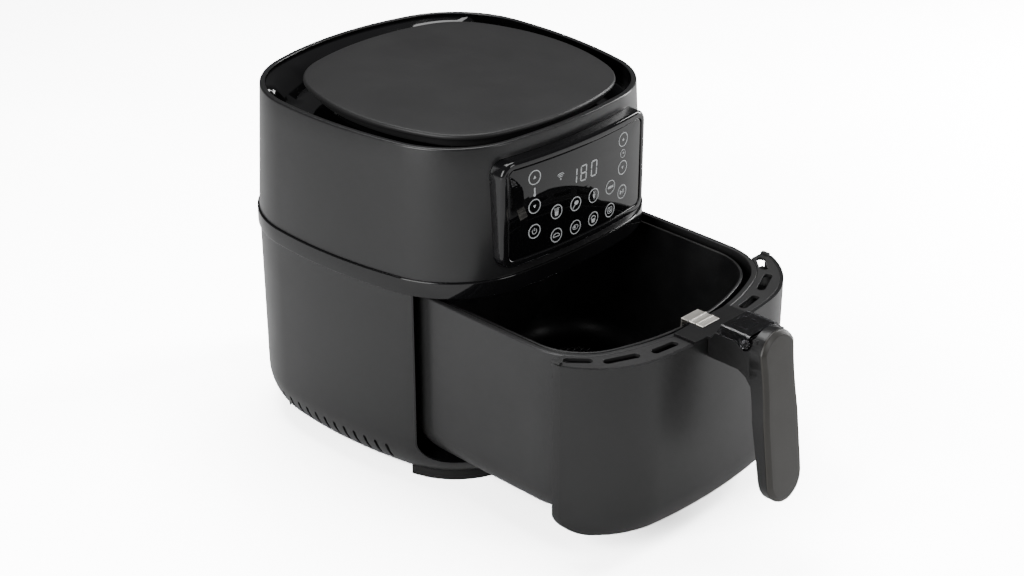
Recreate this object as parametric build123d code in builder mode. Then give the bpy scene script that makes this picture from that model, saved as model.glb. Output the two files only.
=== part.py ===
"""Basket air fryer: a housing with a hot-air chamber above a pull-out drawer.

Millimetres, +Z up. The front of the housing faces -Y and +X is to the right for someone in front of it.
The drawer stands open at rest. The origin is under the middle of the whole object, on the table top.
"""
import os
from math import atan, degrees, hypot, radians, sqrt, tan
from typing import NamedTuple

from build123d import *


class Plan(NamedTuple):
    """A rounded plan: slightly bowed sides, front and back, joined by four tangent corner arcs."""

    half_width: float
    front: float
    back: float
    side_radius: float
    front_radius: float
    back_radius: float
    front_corner: float
    back_corner: float


# ---- driving dimensions -------------------------------------------------------------------------
HOUSING = Plan(157.5, 177.7, 139.8, 447.0, 500.0, 297.0, 91.0, 100.0)
PAN = Plan(129.7, 156.0, 113.0, 4000.0, 232.0, 1500.0, 62.0, 78.0)
BASKET = Plan(117.5, 142.5, 103.0, 4000.0, 222.0, 1500.0, 54.0, 68.0)
LID = Plan(125.5, 126.0, 126.0, 204.0, 240.0, 240.0, 67.0, 67.0)
LID_SHIFT = -33.3            # the lid sits forward of the housing's widest line

DRAWER_OPEN = 164.2          # how far out the drawer stands at rest
FOOT_HEIGHT = 10.0
CREASE_Z = 45.7              # where the upright wall starts to curl in towards the base
CURL_RADIUS = 50.0
BAND_LOW = 191.0
BAND_HIGH = 206.5
RIM_Z = 325.0
LID_Z = 329.0
LID_THICK = 13.0
LID_SKIN = 3.0
MOAT_Z = 303.0               # floor of the air channel round the lid
SHELL_REVEAL = 1.9           # the band stands this far proud of both shells
RIM_TURN_IN = 8.7            # the upper shell leans in to this inset at its rim
WALL = 2.5
RIM_LIP = 5.0

OPENING_HALF = 139.7         # drawer opening in the lower shell
OPENING_LOW = 25.0
OPENING_CORNER = 20.0
PANEL_GAP = 0.9              # gap round the drawer front when it is shut
PANEL_THICK = 3.0
DRAWER_TOP = 187.7           # rim of the pan and top edge of the drawer front
PAN_LOW = 28.5
PAN_CURL = 28.0
PAN_WALL = 1.6
BASKET_LOW = 46.0
BASKET_TOP = 184.0
BASKET_CURL = 24.0
BASKET_WALL = 1.2
RIM_PLATE_THICK = 3.0

PANEL_HALF = 90.0            # control panel
PANEL_LOW = 215.0
PANEL_HIGH = 312.0
PANEL_CORNER = 13.0
PANEL_PROUD = 4.5            # its face stands this far outside the housing's front line
BEZEL_RIM = 7.0

# The handle is drawn by distances ahead of the drawer's widest line.
SADDLE_HALF = 35.0
SADDLE_TOP = 190.2
BRIDGE_HALF = 20.0
BRIDGE_STEP = 179.0          # in front of the band, so that the bridge clears it when shut
BRIDGE_FULL = 186.0
BRIDGE_LOW = 172.0
COVER_TOP = 204.5
COVER_LEG = 196.3
COVER_WALL = 2.0
GRIP_HALF = 22.6
GRIP_TOP = 208.0
GRIP_LOW = 55.5
GRIP_HEAD_BACK = 219.5
GRIP_BACK_LEAN = 10.3        # degrees; the grip leans outwards and thins towards its lower end
GRIP_LEAN = 7.7
GRIP_AHEAD = 227.8           # front of the grip body at its top
INLAY_THICK = 3.7
HINGE_AHEAD = 211.5          # hinge of the button cover
HINGE_Z = 198.5
HINGE_PIN = 1.2
BUTTON_TRAVEL = 2.5
HINGE_BARREL = 3.7           # what the bridge keeps round the pin
COVER_SWEEP = 7.9            # room that the cover's front edge needs as it swings over

HEATER_Y = -18.0             # axis of the fan and heater, from the widest line
DECK_THICK = 2.0             # plate that carries the heater and the electronics
BOWL_RADIUS = 105.0
BOWL_TOP = 248.0
SHEET = 1.0
SHAFT_RADIUS = 3.0
RUNNING = 0.05
MOTOR_Z = 257.0
MOTOR_HEIGHT = 29.0
MOTOR_RADIUS = 36.0

# ---- places worked out from the dimensions above ------------------------------------------------
GRIP_RUN = (GRIP_TOP - GRIP_LOW) * tan(radians(GRIP_LEAN))
GRIP_REACH = GRIP_AHEAD + GRIP_RUN + INLAY_THICK
HOUSING_Y = (DRAWER_OPEN + GRIP_REACH - HOUSING.back) / 2
DRAWER_Y = HOUSING_Y - DRAWER_OPEN
SHELL_TAPER = degrees(atan((RIM_TURN_IN - SHELL_REVEAL) / (RIM_Z - BAND_HIGH)))
SHELL_INNER = SHELL_REVEAL + WALL
CURL_DROP = CREASE_Z - FOOT_HEIGHT
BASE_TURN_IN = CURL_RADIUS - sqrt(CURL_RADIUS**2 - CURL_DROP**2)
BASE_EDGE = SHELL_REVEAL + BASE_TURN_IN
FRONT_CENTRE = HOUSING.front_radius - HOUSING.front
BACK_CENTRE = HOUSING.back_radius - HOUSING.back
DECK_TOP = BAND_HIGH + DECK_THICK
GRIP_BACK_RUN = tan(radians(GRIP_BACK_LEAN))


def level(height):
    """Horizontal plane through the housing's widest line."""
    return Plane(origin=(0, HOUSING_Y, height))


def drawer_level(height):
    """Horizontal plane through the same line of the open drawer."""
    return Plane(origin=(0, DRAWER_Y, height))


def facing(ahead, centre=HOUSING_Y):
    """Upright plane that looks towards the front, this far ahead of the widest line."""
    return Plane(origin=(0, centre - ahead, 0), x_dir=(1, 0, 0), z_dir=(0, -1, 0))


def sideways(across, centre=HOUSING_Y):
    """Upright plane that looks along +X, with Y across and Z up."""
    return Plane(origin=(across, centre, 0), x_dir=(0, 1, 0), z_dir=(1, 0, 0))


def towards(start, end, distance):
    """Point on the line from start through end, this far from start."""
    span = hypot(end[0] - start[0], end[1] - start[1])
    return (
        start[0] + (end[0] - start[0]) * distance / span,
        start[1] + (end[1] - start[1]) * distance / span,
    )


def corner_points(plan, depth, end_radius, corner, inset):
    """Ends and middle of the +X, +Y corner arc, set in by the inset on every side."""
    side_centre = (plan.half_width - plan.side_radius, 0.0)
    end_centre = (0.0, depth - end_radius)
    reach_side = plan.side_radius - corner
    reach_end = end_radius - corner
    span = hypot(side_centre[0], end_centre[1])
    along = (reach_side**2 - reach_end**2 + span**2) / (2 * span)
    across = sqrt(reach_side**2 - along**2)
    run = (-side_centre[0] / span, end_centre[1] / span)
    centre = (
        side_centre[0] + along * run[0] - across * run[1],
        side_centre[1] + along * run[1] + across * run[0],
    )
    on_side = towards(side_centre, centre, plan.side_radius - inset)
    on_end = towards(end_centre, centre, end_radius - inset)
    middle = ((on_side[0] + on_end[0]) / 2, (on_side[1] + on_end[1]) / 2)
    return on_side, towards(centre, middle, corner - inset), on_end


def plan_face(plan, inset=0.0, mode=Mode.ADD):
    """Add the plan, set in by an even distance, to the sketch being built."""
    back_side, back_middle, back_end = corner_points(
        plan, plan.back, plan.back_radius, plan.back_corner, inset
    )
    front_side, front_middle, front_end = corner_points(
        plan, plan.front, plan.front_radius, plan.front_corner, inset
    )
    with BuildLine() as edge:
        for side in (1, -1):
            ThreePointArc(
                (side * front_side[0], -front_side[1]),
                (side * (plan.half_width - inset), 0),
                (side * back_side[0], back_side[1]),
            )
            ThreePointArc(
                (side * back_side[0], back_side[1]),
                (side * back_middle[0], back_middle[1]),
                (side * back_end[0], back_end[1]),
            )
            ThreePointArc(
                (side * front_side[0], -front_side[1]),
                (side * front_middle[0], -front_middle[1]),
                (side * front_end[0], -front_end[1]),
            )
        ThreePointArc((back_end[0], back_end[1]), (0, plan.back - inset), (-back_end[0], back_end[1]))
        ThreePointArc(
            (front_end[0], -front_end[1]), (0, -plan.front + inset), (-front_end[0], -front_end[1])
        )
    make_face(edge.edges(), mode=mode)


def turned_body(inset, centre_y):
    """Solid inside the lower shell's outer face: upright walls that curl in under the base."""
    curl = CURL_RADIUS - inset + SHELL_REVEAL
    with BuildPart() as body:
        with BuildSketch(Plane(origin=(0, centre_y, CREASE_Z - curl))):
            plan_face(HOUSING, inset)
        extrude(amount=BAND_LOW - CREASE_Z + curl)
        fillet(body.faces().sort_by(Axis.Z)[0].edges(), radius=curl - 0.01)
        with BuildSketch(Plane(origin=(0, centre_y, FOOT_HEIGHT))):
            Rectangle(4 * HOUSING.half_width, 4 * HOUSING.half_width)
        extrude(amount=-2 * CURL_RADIUS, mode=Mode.SUBTRACT)
    return body.part


def tray_body(plan, inset, low, high, curl, centre_y):
    """Solid of a deep tray with its lower edge rounded."""
    with BuildPart() as body:
        with BuildSketch(Plane(origin=(0, centre_y, low))):
            plan_face(plan, inset)
        extrude(amount=high - low)
        fillet(body.faces().sort_by(Axis.Z)[0].edges(), radius=curl)
    return body.part


def upright_cylinder(centre_y, radius, low, high):
    """Upright cylinder on the middle plane."""
    with BuildPart() as body:
        with BuildSketch(Plane(origin=(0, centre_y, low))):
            Circle(radius)
        extrude(amount=high - low)
    return body.part


def mouth_prism(half_width, low, corner, ahead_from, ahead_to, centre_y, high=BAND_HIGH + 60):
    """Prism of the drawer opening: straight sides, rounded lower corners, run along Y."""
    with BuildPart() as body:
        with BuildSketch(facing(ahead_from, centre_y)):
            with Locations((0, (low + high) / 2)):
                RectangleRounded(2 * half_width, high - low, corner)
        extrude(amount=ahead_to - ahead_from)
    return body.part


def save(piece, label):
    """Name a finished piece and write it to its own file."""
    piece.part.label = label
    export_step(piece.part, f"parts/{label}.step")


os.makedirs("parts", exist_ok=True)

# ==== housing ====================================================================================

# ---- lower shell: upright wall that curls in under the base, open at the front for the drawer ----
VENT_COUNT = 13
VENT_PITCH = 12.4
VENT_FRONT = -83.5
VENT_LENGTH = 17.0
VENT_WIDTH = 3.2
VENT_Z = 24.0
GLAND_Z = 62.0
GLAND_RADIUS = 8.0
shell_outside = turned_body(SHELL_REVEAL, HOUSING_Y)
shell_inside = turned_body(SHELL_INNER, HOUSING_Y)
shell_mouth = mouth_prism(OPENING_HALF, OPENING_LOW, OPENING_CORNER, 60, 200, HOUSING_Y)
with BuildPart() as lower_shell:
    add(shell_outside)
    add(shell_inside, mode=Mode.SUBTRACT)
    add(shell_mouth, mode=Mode.SUBTRACT)
    with BuildSketch(sideways(0)):
        for index in range(VENT_COUNT):
            with Locations((VENT_FRONT + index * VENT_PITCH, VENT_Z)):
                SlotOverall(VENT_LENGTH, VENT_WIDTH, rotation=90)
    extrude(amount=HOUSING.half_width, both=True, mode=Mode.SUBTRACT)
    with BuildSketch(facing(-HOUSING.back)):
        with Locations((0, GLAND_Z)):
            Circle(GLAND_RADIUS)
    extrude(amount=4 * WALL, mode=Mode.SUBTRACT)
save(lower_shell, "lower_shell")

# ---- upper shell: leans in slightly up to a turned-in rim, with windows for panel and exhaust ----
EXHAUST_HALF = 55.0
EXHAUST_LOW = 228.0
EXHAUST_HIGH = 284.0
EXHAUST_CORNER = 8.0
with BuildPart() as upper_shell:
    with BuildSketch(level(BAND_HIGH)):
        plan_face(HOUSING, SHELL_REVEAL)
    extrude(amount=RIM_Z - BAND_HIGH, taper=SHELL_TAPER)
    fillet(upper_shell.faces().sort_by(Axis.Z)[-1].edges(), radius=1.6)
    with BuildSketch(level(BAND_HIGH)):
        plan_face(HOUSING, SHELL_INNER)
    extrude(amount=RIM_Z - WALL - BAND_HIGH, taper=SHELL_TAPER, mode=Mode.SUBTRACT)
    with BuildSketch(level(RIM_Z)):
        plan_face(HOUSING, RIM_TURN_IN + RIM_LIP)
    extrude(amount=-2 * WALL, mode=Mode.SUBTRACT)
    with BuildSketch(facing(120.0)):
        with Locations((0, (PANEL_LOW + PANEL_HIGH) / 2)):
            RectangleRounded(2 * PANEL_HALF, PANEL_HIGH - PANEL_LOW, PANEL_CORNER)
    extrude(amount=80.0, mode=Mode.SUBTRACT)
    with BuildSketch(facing(-HOUSING.back)):
        with Locations((0, (EXHAUST_LOW + EXHAUST_HIGH) / 2)):
            RectangleRounded(2 * EXHAUST_HALF, EXHAUST_HIGH - EXHAUST_LOW, EXHAUST_CORNER)
    extrude(amount=25.0, mode=Mode.SUBTRACT)
save(upper_shell, "upper_shell")

# ---- gloss band between the two shells ----------------------------------------------------------
with BuildPart() as trim_band:
    with BuildSketch(level(BAND_LOW)):
        plan_face(HOUSING)
        plan_face(HOUSING, SHELL_INNER, mode=Mode.SUBTRACT)
    extrude(amount=BAND_HIGH - BAND_LOW)
save(trim_band, "trim_band")

# ---- air inlet tray: gloss channel round the lid ------------------------------------------------
TRAY_WALL = 2.0
TRAY_INSET = RIM_TURN_IN + RIM_LIP + 0.2
BOSS_INSET = 24.0
INLET_COUNT = 9
INLET_PITCH = 16.0
INLET_Y = 106.0
with BuildPart() as air_inlet_tray:
    with BuildSketch(level(MOAT_Z - TRAY_WALL)):
        plan_face(HOUSING, TRAY_INSET)
    extrude(amount=RIM_Z - MOAT_Z)
    with BuildSketch(level(MOAT_Z)):
        plan_face(HOUSING, TRAY_INSET + TRAY_WALL)
    extrude(amount=RIM_Z - MOAT_Z, mode=Mode.SUBTRACT)
    with BuildSketch(Plane(origin=(0, HOUSING_Y + LID_SHIFT, MOAT_Z))):
        plan_face(LID, BOSS_INSET)
        plan_face(LID, BOSS_INSET + TRAY_WALL, mode=Mode.SUBTRACT)
    extrude(amount=LID_Z - LID_SKIN - MOAT_Z)
    with BuildSketch(level(MOAT_Z)):
        for index in range(INLET_COUNT):
            with Locations(((index - (INLET_COUNT - 1) / 2) * INLET_PITCH, INLET_Y)):
                SlotOverall(16.0, 5.0, rotation=90)
    extrude(amount=-2 * TRAY_WALL, mode=Mode.SUBTRACT)
save(air_inlet_tray, "air_inlet_tray")

# ---- lid plate: hollow cover that overhangs the channel ---------------------------------------------
with BuildPart() as top_plate:
    with BuildSketch(Plane(origin=(0, HOUSING_Y + LID_SHIFT, LID_Z - LID_THICK))):
        plan_face(LID)
    extrude(amount=LID_THICK)
    fillet(top_plate.faces().sort_by(Axis.Z)[-1].edges(), radius=4.0)
    with BuildSketch(Plane(origin=(0, HOUSING_Y + LID_SHIFT, LID_Z - LID_THICK))):
        plan_face(LID, LID_SKIN + 1.0)
    extrude(amount=LID_THICK - LID_SKIN, mode=Mode.SUBTRACT)
save(top_plate, "top_plate")

# ---- base plate with screw bosses and air slots -------------------------------------------------
BASE_PLATE_INSET = BASE_EDGE + WALL + 1.4
BASE_THICK = 2.5
BOSS_HEIGHT = 7.0
SCREW_HOLE = 2.0
screw_grid = (150.0, 150.0, 2, 2)
with BuildPart() as base_plate:
    with BuildSketch(level(FOOT_HEIGHT)):
        plan_face(HOUSING, BASE_PLATE_INSET)
        with GridLocations(14.0, 60.0, 9, 2):
            SlotOverall(40.0, 5.0, rotation=90, mode=Mode.SUBTRACT)
    extrude(amount=BASE_THICK)
    with BuildSketch(level(FOOT_HEIGHT + BASE_THICK)):
        with GridLocations(*screw_grid):
            Circle(5.0)
    extrude(amount=BOSS_HEIGHT)
    with BuildSketch(level(FOOT_HEIGHT)):
        with GridLocations(*screw_grid):
            Circle(SCREW_HOLE)
    extrude(amount=BASE_THICK + BOSS_HEIGHT, mode=Mode.SUBTRACT)
save(base_plate, "base_plate")

with BuildPart() as base_screws:
    with BuildSketch(level(FOOT_HEIGHT - 2.0)):
        with GridLocations(*screw_grid):
            Circle(1.75 * SCREW_HOLE)
    extrude(amount=2.0)
    with BuildSketch(level(FOOT_HEIGHT)):
        with GridLocations(*screw_grid):
            Circle(SCREW_HOLE - RUNNING)
    extrude(amount=BOSS_HEIGHT)
save(base_screws, "base_screws")

# ---- rubber feet that follow the corners --------------------------------------------------------
FOOT_WIDTH = 18.0
FOOT_EDGE = BASE_EDGE + 0.8
with BuildPart() as rubber_feet:
    with BuildSketch(level(0)):
        plan_face(HOUSING, FOOT_EDGE)
        plan_face(HOUSING, FOOT_EDGE + FOOT_WIDTH, mode=Mode.SUBTRACT)
    extrude(amount=FOOT_HEIGHT)
    with BuildSketch(level(0)):
        for side in (1, -1):
            with Locations((side * 107.0, -132.0)):
                Rectangle(68.0, 68.0)
            with Locations((side * 107.0, 100.0)):
                Rectangle(68.0, 56.0)
    extrude(amount=FOOT_HEIGHT, mode=Mode.INTERSECT)
save(rubber_feet, "rubber_feet")

# ---- drawer bay: liner, gloss frame round its mouth, and runners --------------------------------
LINER_GAP = 2.5
LINER_WALL = 2.0
LINER_LOW = 22.0
FRAME_BACK = 84.0
FRAME_FACE = 96.0
liner_outside = tray_body(
    PAN, -LINER_GAP - LINER_WALL, LINER_LOW - LINER_WALL, BAND_HIGH, PAN_CURL + 4.0, HOUSING_Y
)
liner_inside = tray_body(PAN, -LINER_GAP, LINER_LOW, BAND_HIGH + WALL, PAN_CURL + 2.0, HOUSING_Y)
with BuildPart() as drawer_liner:
    add(liner_outside)
    add(liner_inside, mode=Mode.SUBTRACT)
    with BuildSketch(facing(FRAME_BACK)):
        Rectangle(2 * HOUSING.half_width, 3 * BAND_HIGH)
    extrude(amount=HOUSING.front, mode=Mode.SUBTRACT)
save(drawer_liner, "drawer_liner")

frame_block = mouth_prism(
    OPENING_HALF - 0.3, OPENING_LOW - LINER_WALL, OPENING_CORNER, FRAME_BACK, 168.0, HOUSING_Y, BAND_LOW + 60
)
frame_step = mouth_prism(OPENING_HALF - 2.0, OPENING_LOW, OPENING_CORNER - 1.0, FRAME_FACE, 170.0, HOUSING_Y)
frame_mouth = mouth_prism(PAN.half_width + 1.8, OPENING_LOW, PAN_CURL + 1.0, 80.0, 170.0, HOUSING_Y)
frame_limit = turned_body(SHELL_INNER + 1.2, HOUSING_Y)
with BuildPart() as opening_frame:
    add(frame_block)
    add(frame_limit, mode=Mode.INTERSECT)
    add(frame_step, mode=Mode.SUBTRACT)
    add(frame_mouth, mode=Mode.SUBTRACT)
save(opening_frame, "opening_frame")

RUNNER_X = 80.0
with BuildPart() as drawer_runners:
    with BuildSketch(level(LINER_LOW)):
        with Locations((RUNNER_X, -10.0), (-RUNNER_X, -10.0)):
            SlotOverall(140.0, 9.0, rotation=90)
    extrude(amount=PAN_LOW - LINER_LOW - 0.5)
save(drawer_runners, "drawer_runners")

# ---- hot-air chamber: deck, bowl, shield, guard, element, fan and motor -------------------------
def heater_level(height):
    """Horizontal plane on the axis of fan and heater."""
    return Plane(origin=(0, HOUSING_Y + HEATER_Y, height))


DUCT_HALF = 45.0
DUCT_FRONT = 109.0
DUCT_BACK = 127.0
with BuildPart() as support_deck:
    with BuildSketch(level(BAND_HIGH)):
        plan_face(HOUSING, SHELL_INNER + 0.6)
        with Locations((0, HEATER_Y)):
            Circle(BOWL_RADIUS - SHEET, mode=Mode.SUBTRACT)
        with Locations((0, (DUCT_FRONT + DUCT_BACK) / 2)):
            Rectangle(2 * DUCT_HALF - 6, DUCT_BACK - DUCT_FRONT - 8, mode=Mode.SUBTRACT)
    extrude(amount=DECK_THICK)
save(support_deck, "support_deck")

FLANGE = 10.0
with BuildPart() as heater_bowl:
    with BuildSketch(heater_level(DECK_TOP)):
        Circle(BOWL_RADIUS + FLANGE)
    extrude(amount=SHEET)
    with BuildSketch(heater_level(DECK_TOP)):
        Circle(BOWL_RADIUS + SHEET)
    extrude(amount=BOWL_TOP - DECK_TOP)
    with BuildSketch(heater_level(DECK_TOP)):
        Circle(BOWL_RADIUS)
    extrude(amount=BOWL_TOP - DECK_TOP - SHEET, mode=Mode.SUBTRACT)
    with BuildSketch(heater_level(BOWL_TOP)):
        Circle(2 * SHAFT_RADIUS)
    extrude(amount=-2 * SHEET, mode=Mode.SUBTRACT)
save(heater_bowl, "heater_bowl")

SHIELD_RADIUS = 121.0
SHIELD_HOLE = 62.0
with BuildPart() as heat_shield:
    with BuildSketch(heater_level(DECK_TOP)):
        Circle(SHIELD_RADIUS + SHEET)
        Circle(SHIELD_RADIUS, mode=Mode.SUBTRACT)
    extrude(amount=BOWL_TOP + 3 * SHEET - DECK_TOP)
    with BuildSketch(heater_level(BOWL_TOP + 2 * SHEET)):
        Circle(SHIELD_RADIUS + SHEET)
        Circle(SHIELD_HOLE, mode=Mode.SUBTRACT)
    extrude(amount=SHEET)
save(heat_shield, "heat_shield")

GUARD_Z = DECK_TOP + 1.5
GUARD_RINGS = 6
GUARD_WIRE = 2.0
with BuildPart() as fan_guard:
    with BuildSketch(heater_level(GUARD_Z)):
        for index in range(GUARD_RINGS):
            ring = (BOWL_RADIUS - 0.5) * (index + 1) / GUARD_RINGS
            Circle(ring)
            Circle(ring - GUARD_WIRE, mode=Mode.SUBTRACT)
            for angle in (0, 60, 120):
                Rectangle(2 * ring - 1, 1.5 * GUARD_WIRE, rotation=angle)
    extrude(amount=1.5)
save(fan_guard, "fan_guard")

ELEMENT_Z = 220.0
ELEMENT_TUBE = 3.2
ELEMENT_RINGS = (50.0, 68.0, 86.0)
CLAMP_WIDTH = 9.0
CLAMP_HEIGHT = 8.0
element_span = ELEMENT_RINGS[-1] - ELEMENT_RINGS[0]
with BuildPart() as heating_element:
    with BuildSketch(heater_level(ELEMENT_Z - CLAMP_HEIGHT / 2)):
        for side in (1, -1):
            with Locations((0, side * ELEMENT_RINGS[1])):
                Rectangle(CLAMP_WIDTH, element_span + 2 * CLAMP_WIDTH)
    extrude(amount=CLAMP_HEIGHT)
    with BuildSketch(heater_level(ELEMENT_Z + CLAMP_HEIGHT / 2)):
        for side in (1, -1):
            with Locations((0, side * ELEMENT_RINGS[-1])):
                Circle(0.8 * ELEMENT_TUBE)
    extrude(amount=BOWL_TOP - SHEET - ELEMENT_Z - CLAMP_HEIGHT / 2)
    for ring in ELEMENT_RINGS:
        with BuildSketch(facing(-HEATER_Y)):
            with Locations((ring, ELEMENT_Z)):
                Circle(ELEMENT_TUBE)
        revolve(axis=Axis((0, HOUSING_Y + HEATER_Y, 0), (0, 0, 1)))
save(heating_element, "heating_element")

FAN_Z = 228.0
FAN_HEIGHT = 12.0
FAN_RADIUS = 72.0
FAN_BLADES = 10
with BuildPart() as convection_fan:
    with BuildSketch(heater_level(FAN_Z + FAN_HEIGHT - 1.5)):
        Circle(FAN_RADIUS)
    extrude(amount=1.5)
    with BuildSketch(heater_level(FAN_Z)):
        Circle(12.0)
        with PolarLocations((FAN_RADIUS + 22.0) / 2, FAN_BLADES):
            Rectangle(FAN_RADIUS - 22.0, 1.5)
    extrude(amount=FAN_HEIGHT)
    with BuildSketch(heater_level(FAN_Z)):
        Circle(SHAFT_RADIUS)
    extrude(amount=FAN_HEIGHT, mode=Mode.SUBTRACT)
save(convection_fan, "convection_fan")

SHAFT_LOW = FAN_Z - 2.0
SHAFT_HIGH = 299.0
with BuildPart() as motor_shaft:
    with BuildSketch(heater_level(SHAFT_LOW)):
        Circle(SHAFT_RADIUS)
    extrude(amount=SHAFT_HIGH - SHAFT_LOW)
    chamfer(motor_shaft.edges().filter_by(GeomType.CIRCLE), length=0.5)
save(motor_shaft, "motor_shaft")

MOTOR_SCREW_RING = 29.0
with BuildPart() as fan_motor:
    with BuildSketch(heater_level(MOTOR_Z)):
        Circle(MOTOR_RADIUS)
    extrude(amount=MOTOR_HEIGHT)
    fillet(fan_motor.faces().sort_by(Axis.Z)[-1].edges(), radius=4.0)
    with BuildSketch(heater_level(MOTOR_Z)):
        Circle(SHAFT_RADIUS + RUNNING)
    extrude(amount=MOTOR_HEIGHT, mode=Mode.SUBTRACT)
    with BuildSketch(heater_level(MOTOR_Z)):
        with PolarLocations(MOTOR_SCREW_RING, 4, start_angle=45):
            Circle(SCREW_HOLE)
    extrude(amount=8.0, mode=Mode.SUBTRACT)
save(fan_motor, "fan_motor")

BRACKET_THICK = 2.0
BRACKET_RADIUS = 44.0
POST_RING = 38.0
with BuildPart() as motor_bracket:
    with BuildSketch(heater_level(MOTOR_Z - BRACKET_THICK)):
        Circle(BRACKET_RADIUS)
        Circle(10.0, mode=Mode.SUBTRACT)
        with PolarLocations(MOTOR_SCREW_RING, 4, start_angle=45):
            Circle(SCREW_HOLE, mode=Mode.SUBTRACT)
    extrude(amount=BRACKET_THICK)
    with BuildSketch(heater_level(BOWL_TOP)):
        with PolarLocations(POST_RING, 4):
            Circle(4.0)
    extrude(amount=MOTOR_Z - BRACKET_THICK - BOWL_TOP)
save(motor_bracket, "motor_bracket")

with BuildPart() as motor_screws:
    with BuildSketch(heater_level(MOTOR_Z - BRACKET_THICK - 2.0)):
        with PolarLocations(MOTOR_SCREW_RING, 4, start_angle=45):
            Circle(1.75 * SCREW_HOLE)
    extrude(amount=2.0)
    with BuildSketch(heater_level(MOTOR_Z - BRACKET_THICK)):
        with PolarLocations(MOTOR_SCREW_RING, 4, start_angle=45):
            Circle(SCREW_HOLE - RUNNING)
    extrude(amount=BRACKET_THICK + 7.0)
save(motor_screws, "motor_screws")

COOLER_Z = 288.0
COOLER_RADIUS = 44.0
with BuildPart() as cooling_fan:
    with BuildSketch(heater_level(COOLER_Z)):
        Circle(9.0)
        with PolarLocations((COOLER_RADIUS + 6.0) / 2, 7):
            Rectangle(COOLER_RADIUS - 6.0, 2.0, rotation=8)
    extrude(amount=10.0)
    with BuildSketch(heater_level(COOLER_Z)):
        Circle(SHAFT_RADIUS)
    extrude(amount=10.0, mode=Mode.SUBTRACT)
save(cooling_fan, "cooling_fan")

with BuildPart() as temperature_sensor:
    with BuildSketch(heater_level(ELEMENT_Z + 6.0)):
        with PolarLocations(BOWL_RADIUS - 8.0, 1, start_angle=200):
            Circle(2.0)
    extrude(amount=BOWL_TOP - SHEET - ELEMENT_Z - 6.0)
save(temperature_sensor, "temperature_sensor")

with BuildPart() as thermal_cutout:
    with BuildSketch(heater_level(BOWL_TOP)):
        with PolarLocations(52.0, 1, start_angle=30):
            Circle(7.0)
    extrude(amount=5.0)
    fillet(thermal_cutout.faces().sort_by(Axis.Z)[-1].edges(), radius=1.0)
save(thermal_cutout, "thermal_cutout")

# ---- exhaust: duct up from the bay and grille in the back ---------------------------------------
DUCT_TOP = EXHAUST_HIGH + 2.0
with BuildPart() as exhaust_duct:
    with BuildSketch(level(DECK_TOP)):
        with Locations((0, (DUCT_FRONT + DUCT_BACK) / 2)):
            Rectangle(2 * DUCT_HALF, DUCT_BACK - DUCT_FRONT)
            Rectangle(2 * DUCT_HALF - 3, DUCT_BACK - DUCT_FRONT - 3, mode=Mode.SUBTRACT)
    extrude(amount=DUCT_TOP - DECK_TOP)
    with BuildSketch(level(DUCT_TOP - 1.5)):
        with Locations((0, (DUCT_FRONT + DUCT_BACK) / 2)):
            Rectangle(2 * DUCT_HALF, DUCT_BACK - DUCT_FRONT)
    extrude(amount=1.5)
    with BuildSketch(facing(-DUCT_BACK - 1.0)):
        with Locations((0, (EXHAUST_LOW + EXHAUST_HIGH) / 2)):
            Rectangle(2 * DUCT_HALF - 8, EXHAUST_HIGH - EXHAUST_LOW - 8)
    extrude(amount=5.0, mode=Mode.SUBTRACT)
save(exhaust_duct, "exhaust_duct")

GRILLE_SLATS = 8
GRILLE_PITCH = 6.2
GRILLE_FACE = HOUSING.back_radius - 4.4
grille_outside = upright_cylinder(HOUSING_Y - BACK_CENTRE, GRILLE_FACE, EXHAUST_LOW, EXHAUST_HIGH)
grille_inside = upright_cylinder(HOUSING_Y - BACK_CENTRE, GRILLE_FACE - 3.5, EXHAUST_LOW, EXHAUST_HIGH)
with BuildPart() as exhaust_grille:
    with BuildSketch(facing(-HOUSING.back)):
        with Locations((0, (EXHAUST_LOW + EXHAUST_HIGH) / 2)):
            RectangleRounded(2 * EXHAUST_HALF - 0.6, EXHAUST_HIGH - EXHAUST_LOW - 0.6, EXHAUST_CORNER)
    extrude(amount=25.0)
    add(grille_outside, mode=Mode.INTERSECT)
    add(grille_inside, mode=Mode.SUBTRACT)
    with BuildSketch(facing(-HOUSING.back)):
        with Locations((0, (EXHAUST_LOW + EXHAUST_HIGH) / 2)):
            with GridLocations(48.0, GRILLE_PITCH, 2, GRILLE_SLATS):
                SlotOverall(42.0, 3.0)
    extrude(amount=25.0, mode=Mode.SUBTRACT)
save(exhaust_grille, "exhaust_grille")

# ---- control panel: raised bezel, touch glass and the two boards behind it ----------------------
PANEL_MIDDLE = (PANEL_LOW + PANEL_HIGH) / 2
PANEL_FACE = HOUSING.front_radius + PANEL_PROUD
BEZEL_DEPTH = 14.0
bezel_outside = upright_cylinder(HOUSING_Y + FRONT_CENTRE, PANEL_FACE, PANEL_LOW, PANEL_HIGH)
bezel_inside = upright_cylinder(HOUSING_Y + FRONT_CENTRE, PANEL_FACE - BEZEL_DEPTH, PANEL_LOW, PANEL_HIGH)
with BuildPart() as panel_bezel:
    with BuildSketch(facing(120.0)):
        with Locations((0, PANEL_MIDDLE)):
            RectangleRounded(2 * PANEL_HALF - 0.4, PANEL_HIGH - PANEL_LOW - 0.4, PANEL_CORNER)
            RectangleRounded(
                2 * (PANEL_HALF - BEZEL_RIM),
                PANEL_HIGH - PANEL_LOW - 2 * BEZEL_RIM,
                PANEL_CORNER - BEZEL_RIM + 1,
                mode=Mode.SUBTRACT,
            )
    extrude(amount=80.0)
    add(bezel_outside, mode=Mode.INTERSECT)
    add(bezel_inside, mode=Mode.SUBTRACT)
save(panel_bezel, "panel_bezel")

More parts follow.
